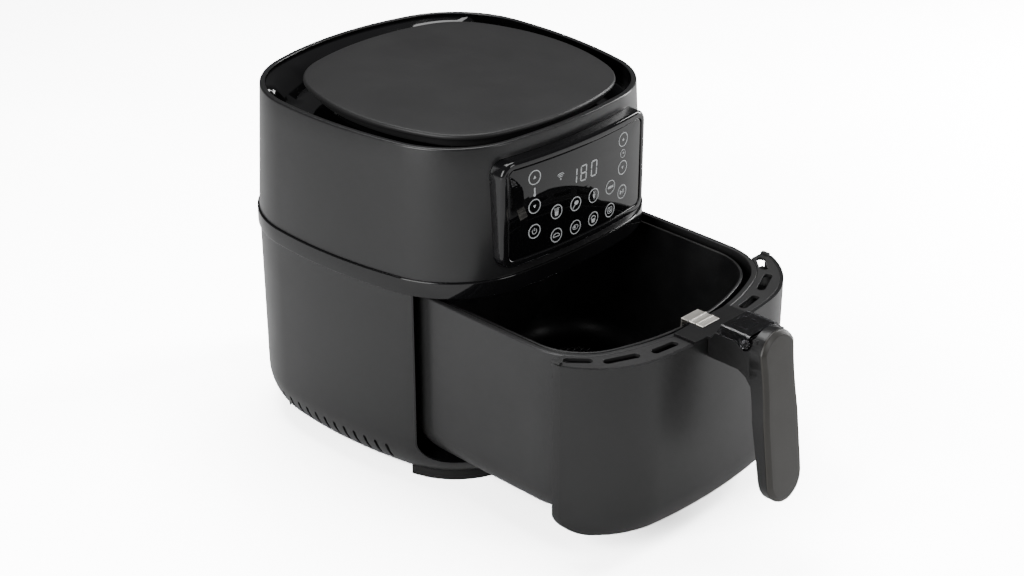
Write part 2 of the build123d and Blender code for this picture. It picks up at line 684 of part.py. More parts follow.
GLASS_THICK = 3.0
GLASS_SINK = 0.8
glass_outside = upright_cylinder(HOUSING_Y + FRONT_CENTRE, PANEL_FACE - GLASS_SINK, PANEL_LOW, PANEL_HIGH)
glass_inside = upright_cylinder(
    HOUSING_Y + FRONT_CENTRE, PANEL_FACE - GLASS_SINK - GLASS_THICK, PANEL_LOW, PANEL_HIGH
)
with BuildPart() as touch_glass:
    with BuildSketch(facing(120.0)):
        with Locations((0, PANEL_MIDDLE)):
            RectangleRounded(
                2 * (PANEL_HALF - BEZEL_RIM) - 0.4,
                PANEL_HIGH - PANEL_LOW - 2 * BEZEL_RIM - 0.4,
                PANEL_CORNER - BEZEL_RIM + 1,
            )
    extrude(amount=80.0)
    add(glass_outside, mode=Mode.INTERSECT)
    add(glass_inside, mode=Mode.SUBTRACT)
save(touch_glass, "touch_glass")

BOARD_AHEAD = 166.0
with BuildPart() as display_board:
    with BuildSketch(facing(BOARD_AHEAD)):
        with Locations((0, PANEL_MIDDLE)):
            Rectangle(140.0, 70.0)
    extrude(amount=1.6)
    with BuildSketch(facing(BOARD_AHEAD + 1.6)):
        with Locations((8.0, PANEL_MIDDLE + 12.0)):
            Rectangle(44.0, 22.0)
    extrude(amount=6.0)
save(display_board, "display_board")

POWER_AHEAD = 148.0
with BuildPart() as power_board:
    with BuildSketch(facing(POWER_AHEAD)):
        with Locations((0, DECK_TOP + 24.0)):
            Rectangle(110.0, 48.0)
    extrude(amount=1.6)
    with BuildSketch(facing(POWER_AHEAD + 1.6)):
        with Locations((-30.0, DECK_TOP + 22.0)):
            Rectangle(28.0, 20.0)
        with Locations((10.0, DECK_TOP + 24.0)):
            Circle(9.0)
        with Locations((38.0, DECK_TOP + 20.0)):
            Rectangle(20.0, 24.0)
    extrude(amount=11.0)
save(power_board, "power_board")

# ---- drawer switch behind the bay and the gland for the mains lead ------------------------------
with BuildPart() as drawer_switch:
    with BuildSketch(facing(-PAN.back - LINER_GAP - LINER_WALL - 8.5)):
        with Locations((60.0, 90.0)):
            RectangleRounded(12.0, 24.0, 1.5)
    extrude(amount=8.0)
save(drawer_switch, "drawer_switch")

GLAND_BORE = 3.6
with BuildPart() as cord_gland:
    with BuildSketch(facing(-HOUSING.back + 0.2)):
        with Locations((0, GLAND_Z)):
            Circle(GLAND_RADIUS + 3.0)
    extrude(amount=1.5)
    with BuildSketch(facing(-HOUSING.back + 0.2)):
        with Locations((0, GLAND_Z)):
            Circle(GLAND_RADIUS - RUNNING)
    extrude(amount=9.0)
    with BuildSketch(facing(-HOUSING.back + 0.2)):
        with Locations((0, GLAND_Z)):
            Circle(GLAND_BORE)
    extrude(amount=9.0, mode=Mode.SUBTRACT)
save(cord_gland, "cord_gland")

# ==== drawer =====================================================================================

# ---- pan: deep tray with a turned-in rim --------------------------------------------------------
PAN_RIM = 5.0
pan_outside = tray_body(PAN, 0, PAN_LOW, DRAWER_TOP, PAN_CURL, DRAWER_Y)
pan_inside = tray_body(
    PAN, PAN_WALL, PAN_LOW + PAN_WALL, DRAWER_TOP - 2.0, PAN_CURL - PAN_WALL, DRAWER_Y
)
with BuildPart() as pan:
    add(pan_outside)
    add(pan_inside, mode=Mode.SUBTRACT)
    with BuildSketch(drawer_level(DRAWER_TOP)):
        plan_face(PAN, PAN_RIM)
    extrude(amount=-4.0, mode=Mode.SUBTRACT)
save(pan, "pan")

# ---- front panel: the piece of the lower shell's surface that fills the opening ------------------
HANDLE_SCREW_X = 11.0
HANDLE_SCREW_Z = 181.0
panel_outside = turned_body(SHELL_REVEAL, DRAWER_Y)
panel_inside = turned_body(SHELL_REVEAL + PANEL_THICK, DRAWER_Y)
panel_shape = mouth_prism(
    OPENING_HALF - PANEL_GAP,
    OPENING_LOW + PANEL_GAP,
    OPENING_CORNER - PANEL_GAP,
    60.0,
    200.0,
    DRAWER_Y,
)
with BuildPart() as front_panel:
    add(panel_outside)
    add(panel_inside, mode=Mode.SUBTRACT)
    add(panel_shape, mode=Mode.INTERSECT)
    with BuildSketch(drawer_level(DRAWER_TOP)):
        Rectangle(4 * HOUSING.half_width, 4 * HOUSING.half_width)
    extrude(amount=BAND_LOW, mode=Mode.SUBTRACT)
    with BuildSketch(facing(150.0, DRAWER_Y)):
        with Locations((HANDLE_SCREW_X, HANDLE_SCREW_Z), (-HANDLE_SCREW_X, HANDLE_SCREW_Z)):
            Circle(SCREW_HOLE + 0.2)
    extrude(amount=40.0, mode=Mode.SUBTRACT)
save(front_panel, "front_panel")

# ---- rim plate: bridges the pan and the front panel, with steam slots ---------------------------
RIM_PLATE_HALF = OPENING_HALF - 2.9
RIM_PLATE_BACK = 110.0
LUG_HEIGHT = 2.6
rim_slots = (
    (55.0, -159.5, 27.0, 8.0),
    (93.0, -146.5, 32.0, 24.0),
    (120.0, -123.5, 24.0, 48.0),
)
with BuildPart() as rim_plate:
    with BuildSketch(drawer_level(DRAWER_TOP - RIM_PLATE_THICK)):
        plan_face(HOUSING, SHELL_REVEAL + PANEL_THICK + 0.2)
        plan_face(PAN, -0.2, mode=Mode.SUBTRACT)
        with Locations((0, -(RIM_PLATE_BACK + 200.0) / 2)):
            Rectangle(2 * RIM_PLATE_HALF, 200.0 - RIM_PLATE_BACK, mode=Mode.INTERSECT)
        for side in (1, -1):
            for across, along, length, angle in rim_slots:
                with Locations((side * across, along)):
                    SlotOverall(length, 7.5, rotation=side * angle, mode=Mode.SUBTRACT)
    extrude(amount=RIM_PLATE_THICK)
    with BuildSketch(drawer_level(DRAWER_TOP)):
        with Locations((RIM_PLATE_HALF - 2.0, -115.0), (-RIM_PLATE_HALF + 2.0, -115.0)):
            Rectangle(4.0, 8.0)
    extrude(amount=LUG_HEIGHT)
save(rim_plate, "rim_plate")

# ---- basket: steel wall with a beaded edge over a perforated floor ------------------------------
FLOOR_INSET = 26.0
BEAD = 1.5
basket_outside = tray_body(BASKET, 0, BASKET_LOW, BASKET_TOP, BASKET_CURL, DRAWER_Y)
basket_inside = tray_body(
    BASKET, BASKET_WALL, BASKET_LOW + BASKET_WALL, BASKET_TOP + 5, BASKET_CURL - BASKET_WALL, DRAWER_Y
)
with BuildPart() as basket:
    add(basket_outside)
    with BuildSketch(drawer_level(BASKET_TOP - 2 * BEAD)):
        plan_face(BASKET, -BEAD)
    extrude(amount=2 * BEAD)
    add(basket_inside, mode=Mode.SUBTRACT)
    with BuildSketch(drawer_level(BASKET_LOW)):
        plan_face(BASKET, FLOOR_INSET)
    extrude(amount=BASKET_WALL, mode=Mode.SUBTRACT)
save(basket, "basket")

with BuildPart() as basket_mesh:
    with BuildSketch(drawer_level(BASKET_LOW)):
        plan_face(BASKET, FLOOR_INSET + 0.1)
        with Locations((0, (BASKET.back - BASKET.front) / 2)):
            with GridLocations(19.0, 19.0, 9, 10):
                Circle(5.0, mode=Mode.SUBTRACT)
    extrude(amount=BASKET_WALL)
save(basket_mesh, "basket_mesh")

with BuildPart() as basket_pads:
    with BuildSketch(drawer_level(PAN_LOW + PAN_WALL)):
        with Locations((0, (BASKET.back - BASKET.front) / 2)):
            with GridLocations(140.0, 150.0, 2, 2):
                Circle(7.0)
    extrude(amount=BASKET_LOW - PAN_LOW - PAN_WALL)
save(basket_pads, "basket_pads")

# ---- basket clip: folded strip that hooks the basket over the pan's rim -------------------------
CLIP_HALF = 11.0
CLIP_TOP = 190.4
CLIP_REACH = 163.0
CLIP_SHEET = 1.4
clip_back = BASKET.front - BASKET_WALL - 0.5 - CLIP_SHEET
with BuildPart() as basket_clip:
    with BuildSketch(sideways(-CLIP_HALF, DRAWER_Y)):
        with BuildLine():
            Polyline(
                (-clip_back, CLIP_TOP - 24),
                (-clip_back, CLIP_TOP),
                (-CLIP_REACH, CLIP_TOP),
                (-CLIP_REACH, CLIP_TOP - CLIP_SHEET),
                (-clip_back - CLIP_SHEET, CLIP_TOP - CLIP_SHEET),
                (-clip_back - CLIP_SHEET, CLIP_TOP - 24),
                close=True,
            )
        make_face()
    extrude(amount=2 * CLIP_HALF)
save(basket_clip, "basket_clip")

# ---- handle: saddle on the rim, bridge over the panel's edge, and grip --------------------------
PANEL_TOUCH = HOUSING.front - SHELL_REVEAL + 0.1
SADDLE_BACK = 152.0
NARROW_HALF = BRIDGE_HALF - COVER_WALL - 0.3
NARROW_TOP = COVER_TOP - COVER_WALL - 0.3
POCKET_START = 190.0
POCKET_END = 206.0
POCKET_HALF = 9.0
POCKET_LOW = 188.0
GRIP_BEND = 12.0


def grip_front(height):
    """Distance ahead of the grip body's front face at this height."""
    return GRIP_AHEAD + (GRIP_TOP - height) * tan(radians(GRIP_LEAN))


def grip_back(height):
    """Distance ahead of the grip body's back face at this height."""
    return GRIP_HEAD_BACK + (BRIDGE_LOW - height) * GRIP_BACK_RUN


def grip_outline(inset):
    """Front view of the grip: domed head, slight neck, straight flanks and a round lower end."""
    half = GRIP_HALF - inset
    head = half - 0.8
    neck = half - 2.2
    shoulder_z = GRIP_TOP - 15.0
    flank_z = GRIP_LOW + GRIP_HALF
    with BuildLine() as edge:
        ThreePointArc((-head, shoulder_z), (0, GRIP_TOP - inset), (head, shoulder_z))
        for side in (1, -1):
            ThreePointArc(
                (side * head, shoulder_z), (side * neck, shoulder_z - 20.0), (side * half, shoulder_z - 62.0)
            )
            Line((side * half, shoulder_z - 62.0), (side * half, flank_z))
        ThreePointArc((-half, flank_z), (0, GRIP_LOW + inset), (half, flank_z))
    make_face(edge.edges())


def side_prism(points, half_width):
    """Prism across X from a side view given as distances ahead and heights."""
    with BuildPart() as body:
        with BuildSketch(sideways(-half_width, DRAWER_Y)):
            with BuildLine():
                Polyline(*[(-ahead, height) for ahead, height in points], close=True)
            make_face()
        extrude(amount=2 * half_width)
    return body.part


grip_side = side_prism(
    [
        (GRIP_HEAD_BACK, GRIP_TOP + 1),
        (grip_front(GRIP_TOP + 1), GRIP_TOP + 1),
        (grip_front(GRIP_LOW - 1), GRIP_LOW - 1),
        (grip_back(GRIP_LOW - 1), GRIP_LOW - 1),
        (GRIP_HEAD_BACK, BRIDGE_LOW),
    ],
    GRIP_HALF + 1,
)
with BuildPart() as grip_bar:
    with BuildSketch(facing(200.0, DRAWER_Y)):
        grip_outline(0)
    extrude(amount=70.0)
    add(grip_side, mode=Mode.INTERSECT)
bridge_wide = side_prism(
    [
        (PANEL_TOUCH, BRIDGE_LOW),
        (PANEL_TOUCH, SADDLE_TOP),
        (BRIDGE_STEP, SADDLE_TOP),
        (BRIDGE_STEP + 4.0, COVER_LEG - 0.3),
        (GRIP_HEAD_BACK + 4.0, COVER_LEG - 0.3),
        (GRIP_HEAD_BACK + 4.0, BRIDGE_LOW - GRIP_BEND),
        (grip_back(BRIDGE_LOW - GRIP_BEND), BRIDGE_LOW - GRIP_BEND),
        (GRIP_HEAD_BACK - GRIP_BEND / 3, BRIDGE_LOW - GRIP_BEND / 3),
        (GRIP_HEAD_BACK - GRIP_BEND, BRIDGE_LOW),
    ],
    BRIDGE_HALF,
)
bridge_narrow = side_prism(
    [
        (BRIDGE_STEP, SADDLE_TOP - 2),
        (BRIDGE_STEP, SADDLE_TOP),
        (BRIDGE_FULL, NARROW_TOP),
        (GRIP_HEAD_BACK + 4.0, NARROW_TOP),
        (GRIP_HEAD_BACK + 4.0, SADDLE_TOP - 2),
    ],
    NARROW_HALF,
)
with BuildPart() as handle_body:
    add(grip_bar.part)
    add(bridge_wide)
    add(bridge_narrow)
    with BuildSketch(drawer_level(DRAWER_TOP)):
        with Locations((0, -(SADDLE_BACK + BRIDGE_STEP) / 2)):
            Rectangle(2 * SADDLE_HALF, BRIDGE_STEP - SADDLE_BACK)
        plan_face(HOUSING, SHELL_REVEAL, mode=Mode.INTERSECT)
        with Locations((0, -(SADDLE_BACK + BRIDGE_STEP) / 2)):
            Rectangle(2 * BRIDGE_HALF, BRIDGE_STEP - SADDLE_BACK)
    extrude(amount=SADDLE_TOP - DRAWER_TOP)
    with BuildSketch(drawer_level(DRAWER_TOP)):
        with Locations((0, -(SADDLE_BACK + CLIP_REACH - 1.7) / 2)):
            Rectangle(2 * CLIP_HALF + 0.6, CLIP_REACH + 2.3 - SADDLE_BACK)
    extrude(amount=SADDLE_TOP, mode=Mode.SUBTRACT)
    with BuildSketch(drawer_level(POCKET_LOW)):
        with Locations((0, -(POCKET_START + POCKET_END) / 2)):
            RectangleRounded(2 * POCKET_HALF, POCKET_END - POCKET_START, 3.0)
    extrude(amount=COVER_TOP - POCKET_LOW, mode=Mode.SUBTRACT)
    with BuildSketch(sideways(NARROW_HALF, DRAWER_Y)):
        with Locations((-HINGE_AHEAD, HINGE_Z)):
            Circle(6.6)
    extrude(amount=BRIDGE_HALF, mode=Mode.SUBTRACT)
    with BuildSketch(sideways(-NARROW_HALF, DRAWER_Y)):
        with Locations((-HINGE_AHEAD, HINGE_Z)):
            Circle(6.6)
    extrude(amount=-BRIDGE_HALF, mode=Mode.SUBTRACT)
    with BuildSketch(sideways(0, DRAWER_Y)):
        with Locations((-HINGE_AHEAD, HINGE_Z)):
            Circle(HINGE_PIN + RUNNING)
    extrude(amount=BRIDGE_HALF, both=True, mode=Mode.SUBTRACT)
    with BuildSketch(sideways(0, DRAWER_Y)):
        with Locations((-HINGE_AHEAD, HINGE_Z)):
            Circle(COVER_SWEEP)
            Circle(HINGE_BARREL, mode=Mode.SUBTRACT)
        with Locations((-HINGE_AHEAD - COVER_SWEEP / 2, HINGE_Z)):
            Rectangle(COVER_SWEEP, 2 * COVER_SWEEP, mode=Mode.INTERSECT)
    extrude(amount=BRIDGE_HALF + 0.1, both=True, mode=Mode.SUBTRACT)
    with BuildSketch(facing(PANEL_TOUCH, DRAWER_Y)):
        with Locations((HANDLE_SCREW_X, HANDLE_SCREW_Z), (-HANDLE_SCREW_X, HANDLE_SCREW_Z)):
            Circle(SCREW_HOLE)
    extrude(amount=14.0, mode=Mode.SUBTRACT)
save(handle_body, "handle_body")

inlay_side = side_prism(
    [
        (grip_front(GRIP_TOP), GRIP_TOP),
        (grip_front(GRIP_TOP) + INLAY_THICK, GRIP_TOP),
        (grip_front(GRIP_LOW) + INLAY_THICK, GRIP_LOW),
        (grip_front(GRIP_LOW), GRIP_LOW),
    ],
    GRIP_HALF,
)
with BuildPart() as grip_inlay:
    with BuildSketch(facing(200.0, DRAWER_Y)):
        grip_outline(0.4)
    extrude(amount=70.0)
    add(inlay_side, mode=Mode.INTERSECT)
save(grip_inlay, "grip_inlay")

# ---- button under a hinged clear cover, with its spring and hinge pin ---------------------------
COVER_BACK = 187.0
COVER_FRONT = 216.0
with BuildPart() as button_cover:
    with BuildSketch(facing(COVER_BACK, DRAWER_Y)):
        with Locations((0, (COVER_LEG + COVER_TOP) / 2)):
            Rectangle(2 * BRIDGE_HALF, COVER_TOP - COVER_LEG)
        with Locations((0, (COVER_LEG + COVER_TOP) / 2 - COVER_WALL)):
            Rectangle(2 * (BRIDGE_HALF - COVER_WALL), COVER_TOP - COVER_LEG, mode=Mode.SUBTRACT)
    extrude(amount=COVER_FRONT - COVER_BACK)
    for across in (BRIDGE_HALF - COVER_WALL, -BRIDGE_HALF):
        with BuildSketch(sideways(across, DRAWER_Y)):
            with Locations((-HINGE_AHEAD, HINGE_Z)):
                Circle(6.0)
        extrude(amount=COVER_WALL)
    with BuildSketch(sideways(0, DRAWER_Y)):
        with Locations((-HINGE_AHEAD, HINGE_Z)):
            Circle(HINGE_PIN)
    extrude(amount=BRIDGE_HALF, both=True, mode=Mode.SUBTRACT)
save(button_cover, "button_cover")

with BuildPart() as hinge_pin:
    with BuildSketch(sideways(0, DRAWER_Y)):
        with Locations((-HINGE_AHEAD, HINGE_Z)):
            Circle(HINGE_PIN)
    extrude(amount=BRIDGE_HALF - 0.3, both=True)
save(hinge_pin, "hinge_pin")

BUTTON_GAP = 0.4
BUTTON_SKIRT = 195.0
with BuildPart() as release_button:
    with BuildSketch(drawer_level(BUTTON_SKIRT)):
        with Locations((0, -(POCKET_START + POCKET_END) / 2)):
            RectangleRounded(2 * (POCKET_HALF - BUTTON_GAP), POCKET_END - POCKET_START - 2 * BUTTON_GAP, 2.6)
    extrude(amount=NARROW_TOP + 0.1 - BUTTON_SKIRT)
    fillet(release_button.faces().sort_by(Axis.Z)[-1].edges(), radius=0.8)
    with BuildSketch(drawer_level(POCKET_LOW + BUTTON_TRAVEL + 0.4)):
        with Locations((0, -(POCKET_START + POCKET_END) / 2)):
            Circle(2.4)
    extrude(amount=BUTTON_SKIRT - POCKET_LOW - BUTTON_TRAVEL - 0.4)
save(release_button, "release_button")

SPRING_WIRE = 0.4
SPRING_RADIUS = 3.8
SPRING_TURNS = 4
spring_height = BUTTON_SKIRT - POCKET_LOW - 2 * SPRING_WIRE - 0.2
spring_middle = -(POCKET_START + POCKET_END) / 2
with BuildPart() as button_spring:
    with BuildLine(drawer_level(POCKET_LOW + SPRING_WIRE + 0.1)):
        with Locations((0, spring_middle)):
            coil = Helix(spring_height / SPRING_TURNS, spring_height, SPRING_RADIUS)
    with BuildSketch(Plane(coil @ 0, z_dir=coil % 0)):
        Circle(SPRING_WIRE)
    sweep(is_frenet=True)
save(button_spring, "button_spring")

with BuildPart() as handle_screws:
    with BuildSketch(facing(PANEL_TOUCH - PANEL_THICK - 3.0, DRAWER_Y)):
        with Locations((HANDLE_SCREW_X, HANDLE_SCREW_Z), (-HANDLE_SCREW_X, HANDLE_SCREW_Z)):
            Circle(1.75 * SCREW_HOLE)
    extrude(amount=2.4)
    with BuildSketch(facing(PANEL_TOUCH - PANEL_THICK - 3.0, DRAWER_Y)):
        with Locations((HANDLE_SCREW_X, HANDLE_SCREW_Z), (-HANDLE_SCREW_X, HANDLE_SCREW_Z)):
            Circle(SCREW_HOLE - RUNNING)
    extrude(amount=16.0)
save(handle_screws, "handle_screws")
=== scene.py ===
"""Basket air fryer with its drawer open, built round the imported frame.

Metres, +Z up, the front faces -Y. Plans and insets are measured from each body's widest line.
"""
import logging
from dataclasses import dataclass, field
from enum import Enum

import bmesh
import bpy
import numpy as np
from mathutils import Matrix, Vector


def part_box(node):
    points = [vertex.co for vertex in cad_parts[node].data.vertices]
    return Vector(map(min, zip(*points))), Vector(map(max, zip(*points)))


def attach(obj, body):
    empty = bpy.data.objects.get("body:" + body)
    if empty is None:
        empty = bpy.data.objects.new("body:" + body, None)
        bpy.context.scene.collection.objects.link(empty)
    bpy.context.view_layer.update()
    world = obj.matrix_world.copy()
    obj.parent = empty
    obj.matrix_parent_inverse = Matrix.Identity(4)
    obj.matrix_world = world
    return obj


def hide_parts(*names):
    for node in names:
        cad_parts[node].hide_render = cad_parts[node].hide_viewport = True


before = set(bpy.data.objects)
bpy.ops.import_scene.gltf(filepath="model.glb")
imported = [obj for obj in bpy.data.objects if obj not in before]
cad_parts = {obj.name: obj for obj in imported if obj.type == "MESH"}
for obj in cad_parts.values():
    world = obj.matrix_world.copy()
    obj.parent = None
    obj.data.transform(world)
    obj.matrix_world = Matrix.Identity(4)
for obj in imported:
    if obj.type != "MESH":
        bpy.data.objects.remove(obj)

Array = np.ndarray
Colour = tuple[float, float, float]
LOG = logging.getLogger("air_fryer")
SMOOTH_LIMIT = np.radians(34.0)
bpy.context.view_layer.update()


# ==== surfaces ===================================================================================


def smoothstep(value: Array) -> Array:
    """Ease from 0 to 1 as the value does: three squares less two cubes of it, clipped."""
    t = np.clip(value, 0.0, 1.0)
    return t * t * (3.0 - 2.0 * t)


def quads(rows: int, columns: int, wrap_rows: bool = False, wrap_columns: bool = False) -> Array:
    """Corner indices of the faces of a grid of points.

    Args:
        rows: Number of rows of points.
        columns: Number of points in a row.
        wrap_rows: Whether the last row joins the first.
        wrap_columns: Whether the last column joins the first.

    Returns:
        One row of four point numbers per face.
    """
    row = np.arange(rows if wrap_rows else rows - 1)[:, None]
    column = np.arange(columns if wrap_columns else columns - 1)[None, :]
    next_row, next_column = (row + 1) % rows, (column + 1) % columns
    corners = [
        row * columns + column,
        row * columns + next_column,
        next_row * columns + next_column,
        next_row * columns + column,
    ]
    return np.stack(np.broadcast_arrays(*corners), axis=-1).reshape(-1, 4)


def fan(ring: Array, pole: int) -> Array:
    """Triangles from every side of a ring of point numbers to one pole."""
    return np.stack([ring, np.roll(ring, -1), np.full(len(ring), pole)], axis=-1)


def rounded(
    points: list[tuple[float, float]], radii: list[float], closed: bool = True, steps: int = 5
) -> Array:
    """Outline whose corners are arcs that touch both neighbouring sides.

    Each arc's centre lies on the corner's bisector at radius / sin(half the corner's angle).

    Args:
        points: The sharp corners.
        radii: One radius for each corner; 0 keeps it sharp.
        closed: Whether the last side returns to the first corner.
        steps: Number of chords in each arc.

    Returns:
        The points of the outline, in order.
    """
    corners = np.asarray(points, float)
    count = len(corners)
    pieces = []
    for index, radius in enumerate(radii):
        corner = corners[index]
        if radius <= 0 or (not closed and index in (0, count - 1)):
            pieces.append(corner[None])
            continue
        before = corners[index - 1] - corner
        after = corners[(index + 1) % count] - corner
        before, after = before / np.linalg.norm(before), after / np.linalg.norm(after)
        half = np.arccos(np.clip(before @ after, -1, 1)) / 2
        bisector = (before + after) / np.linalg.norm(before + after)
        centre = corner + bisector * radius / np.sin(half)
        start = corner + before * radius / np.tan(half) - centre
        end = corner + after * radius / np.tan(half) - centre
        first = np.arctan2(start[1], start[0])
        turn = (np.arctan2(end[1], end[0]) - first + np.pi) % (2 * np.pi) - np.pi
        angles = first + turn * np.linspace(0, 1, steps + 1)
        pieces.append(centre + radius * np.stack([np.cos(angles), np.sin(angles)], axis=-1))
    return np.concatenate(pieces)


def rounded_box(half_width: float, half_height: float, corner: float, steps: int = 8) -> Array:
    """Rectangle about the origin with rounded corners, anticlockwise."""
    sides = [
        (-half_width, -half_height),
        (half_width, -half_height),
        (half_width, half_height),
        (-half_width, half_height),
    ]
    return rounded(sides, [corner] * 4, steps=steps)


def resample(outline: Array, spacing: float, closed: bool = True) -> Array:
    """Outline with extra points on its long sides, none further apart than the spacing."""
    ends = np.roll(outline, -1, axis=0) if closed else outline[1:]
    starts = outline if closed else outline[:-1]
    counts = np.maximum(1, np.ceil(np.linalg.norm(ends - starts, axis=1) / spacing).astype(int))
    shares = [np.arange(count)[:, None] / count for count in counts]
    runs = [start + share * (end - start) for start, end, share in zip(starts, ends, shares)]
    return np.concatenate(runs if closed else runs + [outline[-1:]])


@dataclass
class Surface:
    """Points and faces being gathered for one piece."""

    points: list[Array] = field(default_factory=list)
    faces: list[list[int]] = field(default_factory=list)
    paints: list[int] = field(default_factory=list)
    count: int = 0

    def add(self, points: Array, faces: Array, paint: int | Array = 0) -> "Surface":
        """Add points and the faces between them, with the number of the finish they take."""
        self.points.append(np.asarray(points, float).reshape(-1, 3))
        self.faces += (np.asarray(faces) + self.count).tolist()
        self.paints += np.broadcast_to(paint, len(faces)).tolist()
        self.count += len(self.points[-1])
        return self

    def add_loop_grid(self, grid: Array, paint: int | Array = 0) -> "Surface":
        """Add a ring-shaped skin: rows of a closed section carried round a closed path."""
        rows, columns = grid.shape[:2]
        return self.add(grid, quads(rows, columns, True, True), paint)

    def add_capped(self, grid: Array, first_pole: Array, last_pole: Array) -> "Surface":
        """Add a closed skin of loops, one per row, whose end loops shrink to two poles."""
        rows, columns = grid.shape[:2]
        points = np.concatenate([grid.reshape(-1, 3), first_pole[None], last_pole[None]])
        base = self.count
        self.add(points, quads(rows, columns, False, True))
        ring = np.arange(columns)
        total = rows * columns
        for triangles in (fan(ring, total)[:, ::-1], fan(ring + total - columns, total + 1)):
            self.faces += (triangles + base).tolist()
            self.paints += [0] * columns
        return self

    def add_bar(self, grid: Array, closed: bool = False) -> "Surface":
        """Add a bar, given one row of points for each long edge, with end caps unless it closes on itself."""
        rows, columns = grid.shape[:2]
        base = self.count
        self.add(grid, quads(rows, columns, True, closed))
        for column in () if closed else (0, columns - 1):
            self.faces.append([base + row * columns + column for row in range(rows)])
            self.paints.append(0)
        return self

    def piece(self, name: str) -> bpy.types.Object:
        """Make and link the mesh object, with faces outwards and smooth shading between soft edges."""
        mesh = bpy.data.meshes.new(name)
        mesh.from_pydata(np.concatenate(self.points).tolist(), [], self.faces)
        mesh.polygons.foreach_set("material_index", np.array(self.paints, dtype=np.int32))
        turn_outwards(mesh)
        piece = bpy.data.objects.new(name, mesh)
        bpy.context.scene.collection.objects.link(piece)
        shade(piece)
        return piece


def turn_outwards(mesh: bpy.types.Mesh, merge: float = 1e-7) -> None:
    """Merge doubled points and turn every face outwards."""
    work = bmesh.new()
    work.from_mesh(mesh)
    bmesh.ops.remove_doubles(work, verts=work.verts, dist=merge)
    bmesh.ops.recalc_face_normals(work, faces=work.faces)
    work.to_mesh(mesh)
    work.free()


def shade(piece: bpy.types.Object, limit: float = SMOOTH_LIMIT) -> None:
    """Shade smoothly, but keep edges sharper than the limit crisp."""
    piece.data.shade_smooth()
    piece.data.set_sharp_from_angle(angle=limit)


def prism(outline: Array, axis: int, start: float, end: float) -> bpy.types.Object:
    """Closed cutter: an outline in the other two axes, run along one axis.

    Args:
        outline: Points in the plane of the two axes other than the run, in their order.
        axis: Number of the axis that the outline runs along.
        start: Where the run starts.
        end: Where it ends.

    Returns:
        The cutter.
    """
    count = len(outline)
    others = [index for index in range(3) if index != axis]
    points = np.zeros((2, count, 3))
    points[..., others] = outline
    points[0, :, axis], points[1, :, axis] = start, end
    surface = Surface().add(points, quads(2, count, False, True))
    surface.faces += [list(range(count)), list(range(count, 2 * count))]
    surface.paints += [0, 0]
    return surface.piece("cutter")


def carve(piece: bpy.types.Object, cutter: bpy.types.Object, operation: str = "DIFFERENCE") -> None:
    """Cut a piece exactly with a closed cutter, which is then removed."""
    step = piece.modifiers.new("carve", "BOOLEAN")
    step.operation, step.solver, step.object = operation, "EXACT", cutter
    state = bpy.context.evaluated_depsgraph_get()
    carved = bpy.data.meshes.new_from_object(piece.evaluated_get(state))
    piece.modifiers.clear()
    old = piece.data
    piece.data = carved
    bpy.data.meshes.remove(old)
    bpy.data.objects.remove(cutter)
    shade(piece)


def soften(piece: bpy.types.Object, width: float, segments: int = 2, angle: float = 38.0) -> None:
    """Round every edge that is sharper than the angle in degrees."""
    bevel = piece.modifiers.new("soft edges", "BEVEL")
    bevel.width, bevel.segments = width, segments
    bevel.limit_method, bevel.angle_limit = "ANGLE", np.radians(angle)
    bevel.harden_normals = True


def from_cad(node: str, name: str, width: float, segments: int = 2) -> bpy.types.Object:
    """Copy of a CAD node with merged points, whole faces and rounded edges.

    Args:
        node: The CAD node.
        name: The new piece's name.
        width: Width of the rounding.
        segments: Number of strips across each rounding.

    Returns:
        The new piece.
    """
    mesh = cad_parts[node].data.copy()
    mesh.name = name
    work = bmesh.new()
    work.from_mesh(mesh)
    bmesh.ops.remove_doubles(work, verts=work.verts, dist=2e-6)
    bmesh.ops.dissolve_limit(work, angle_limit=np.radians(0.4), verts=work.verts, edges=work.edges)
    bmesh.ops.recalc_face_normals(work, faces=work.faces)
    work.to_mesh(mesh)
    work.free()
    piece = bpy.data.objects.new(name, mesh)
    bpy.context.scene.collection.objects.link(piece)
    shade(piece)
    soften(piece, width, segments)
    return piece


# ==== plans ======================================================================================


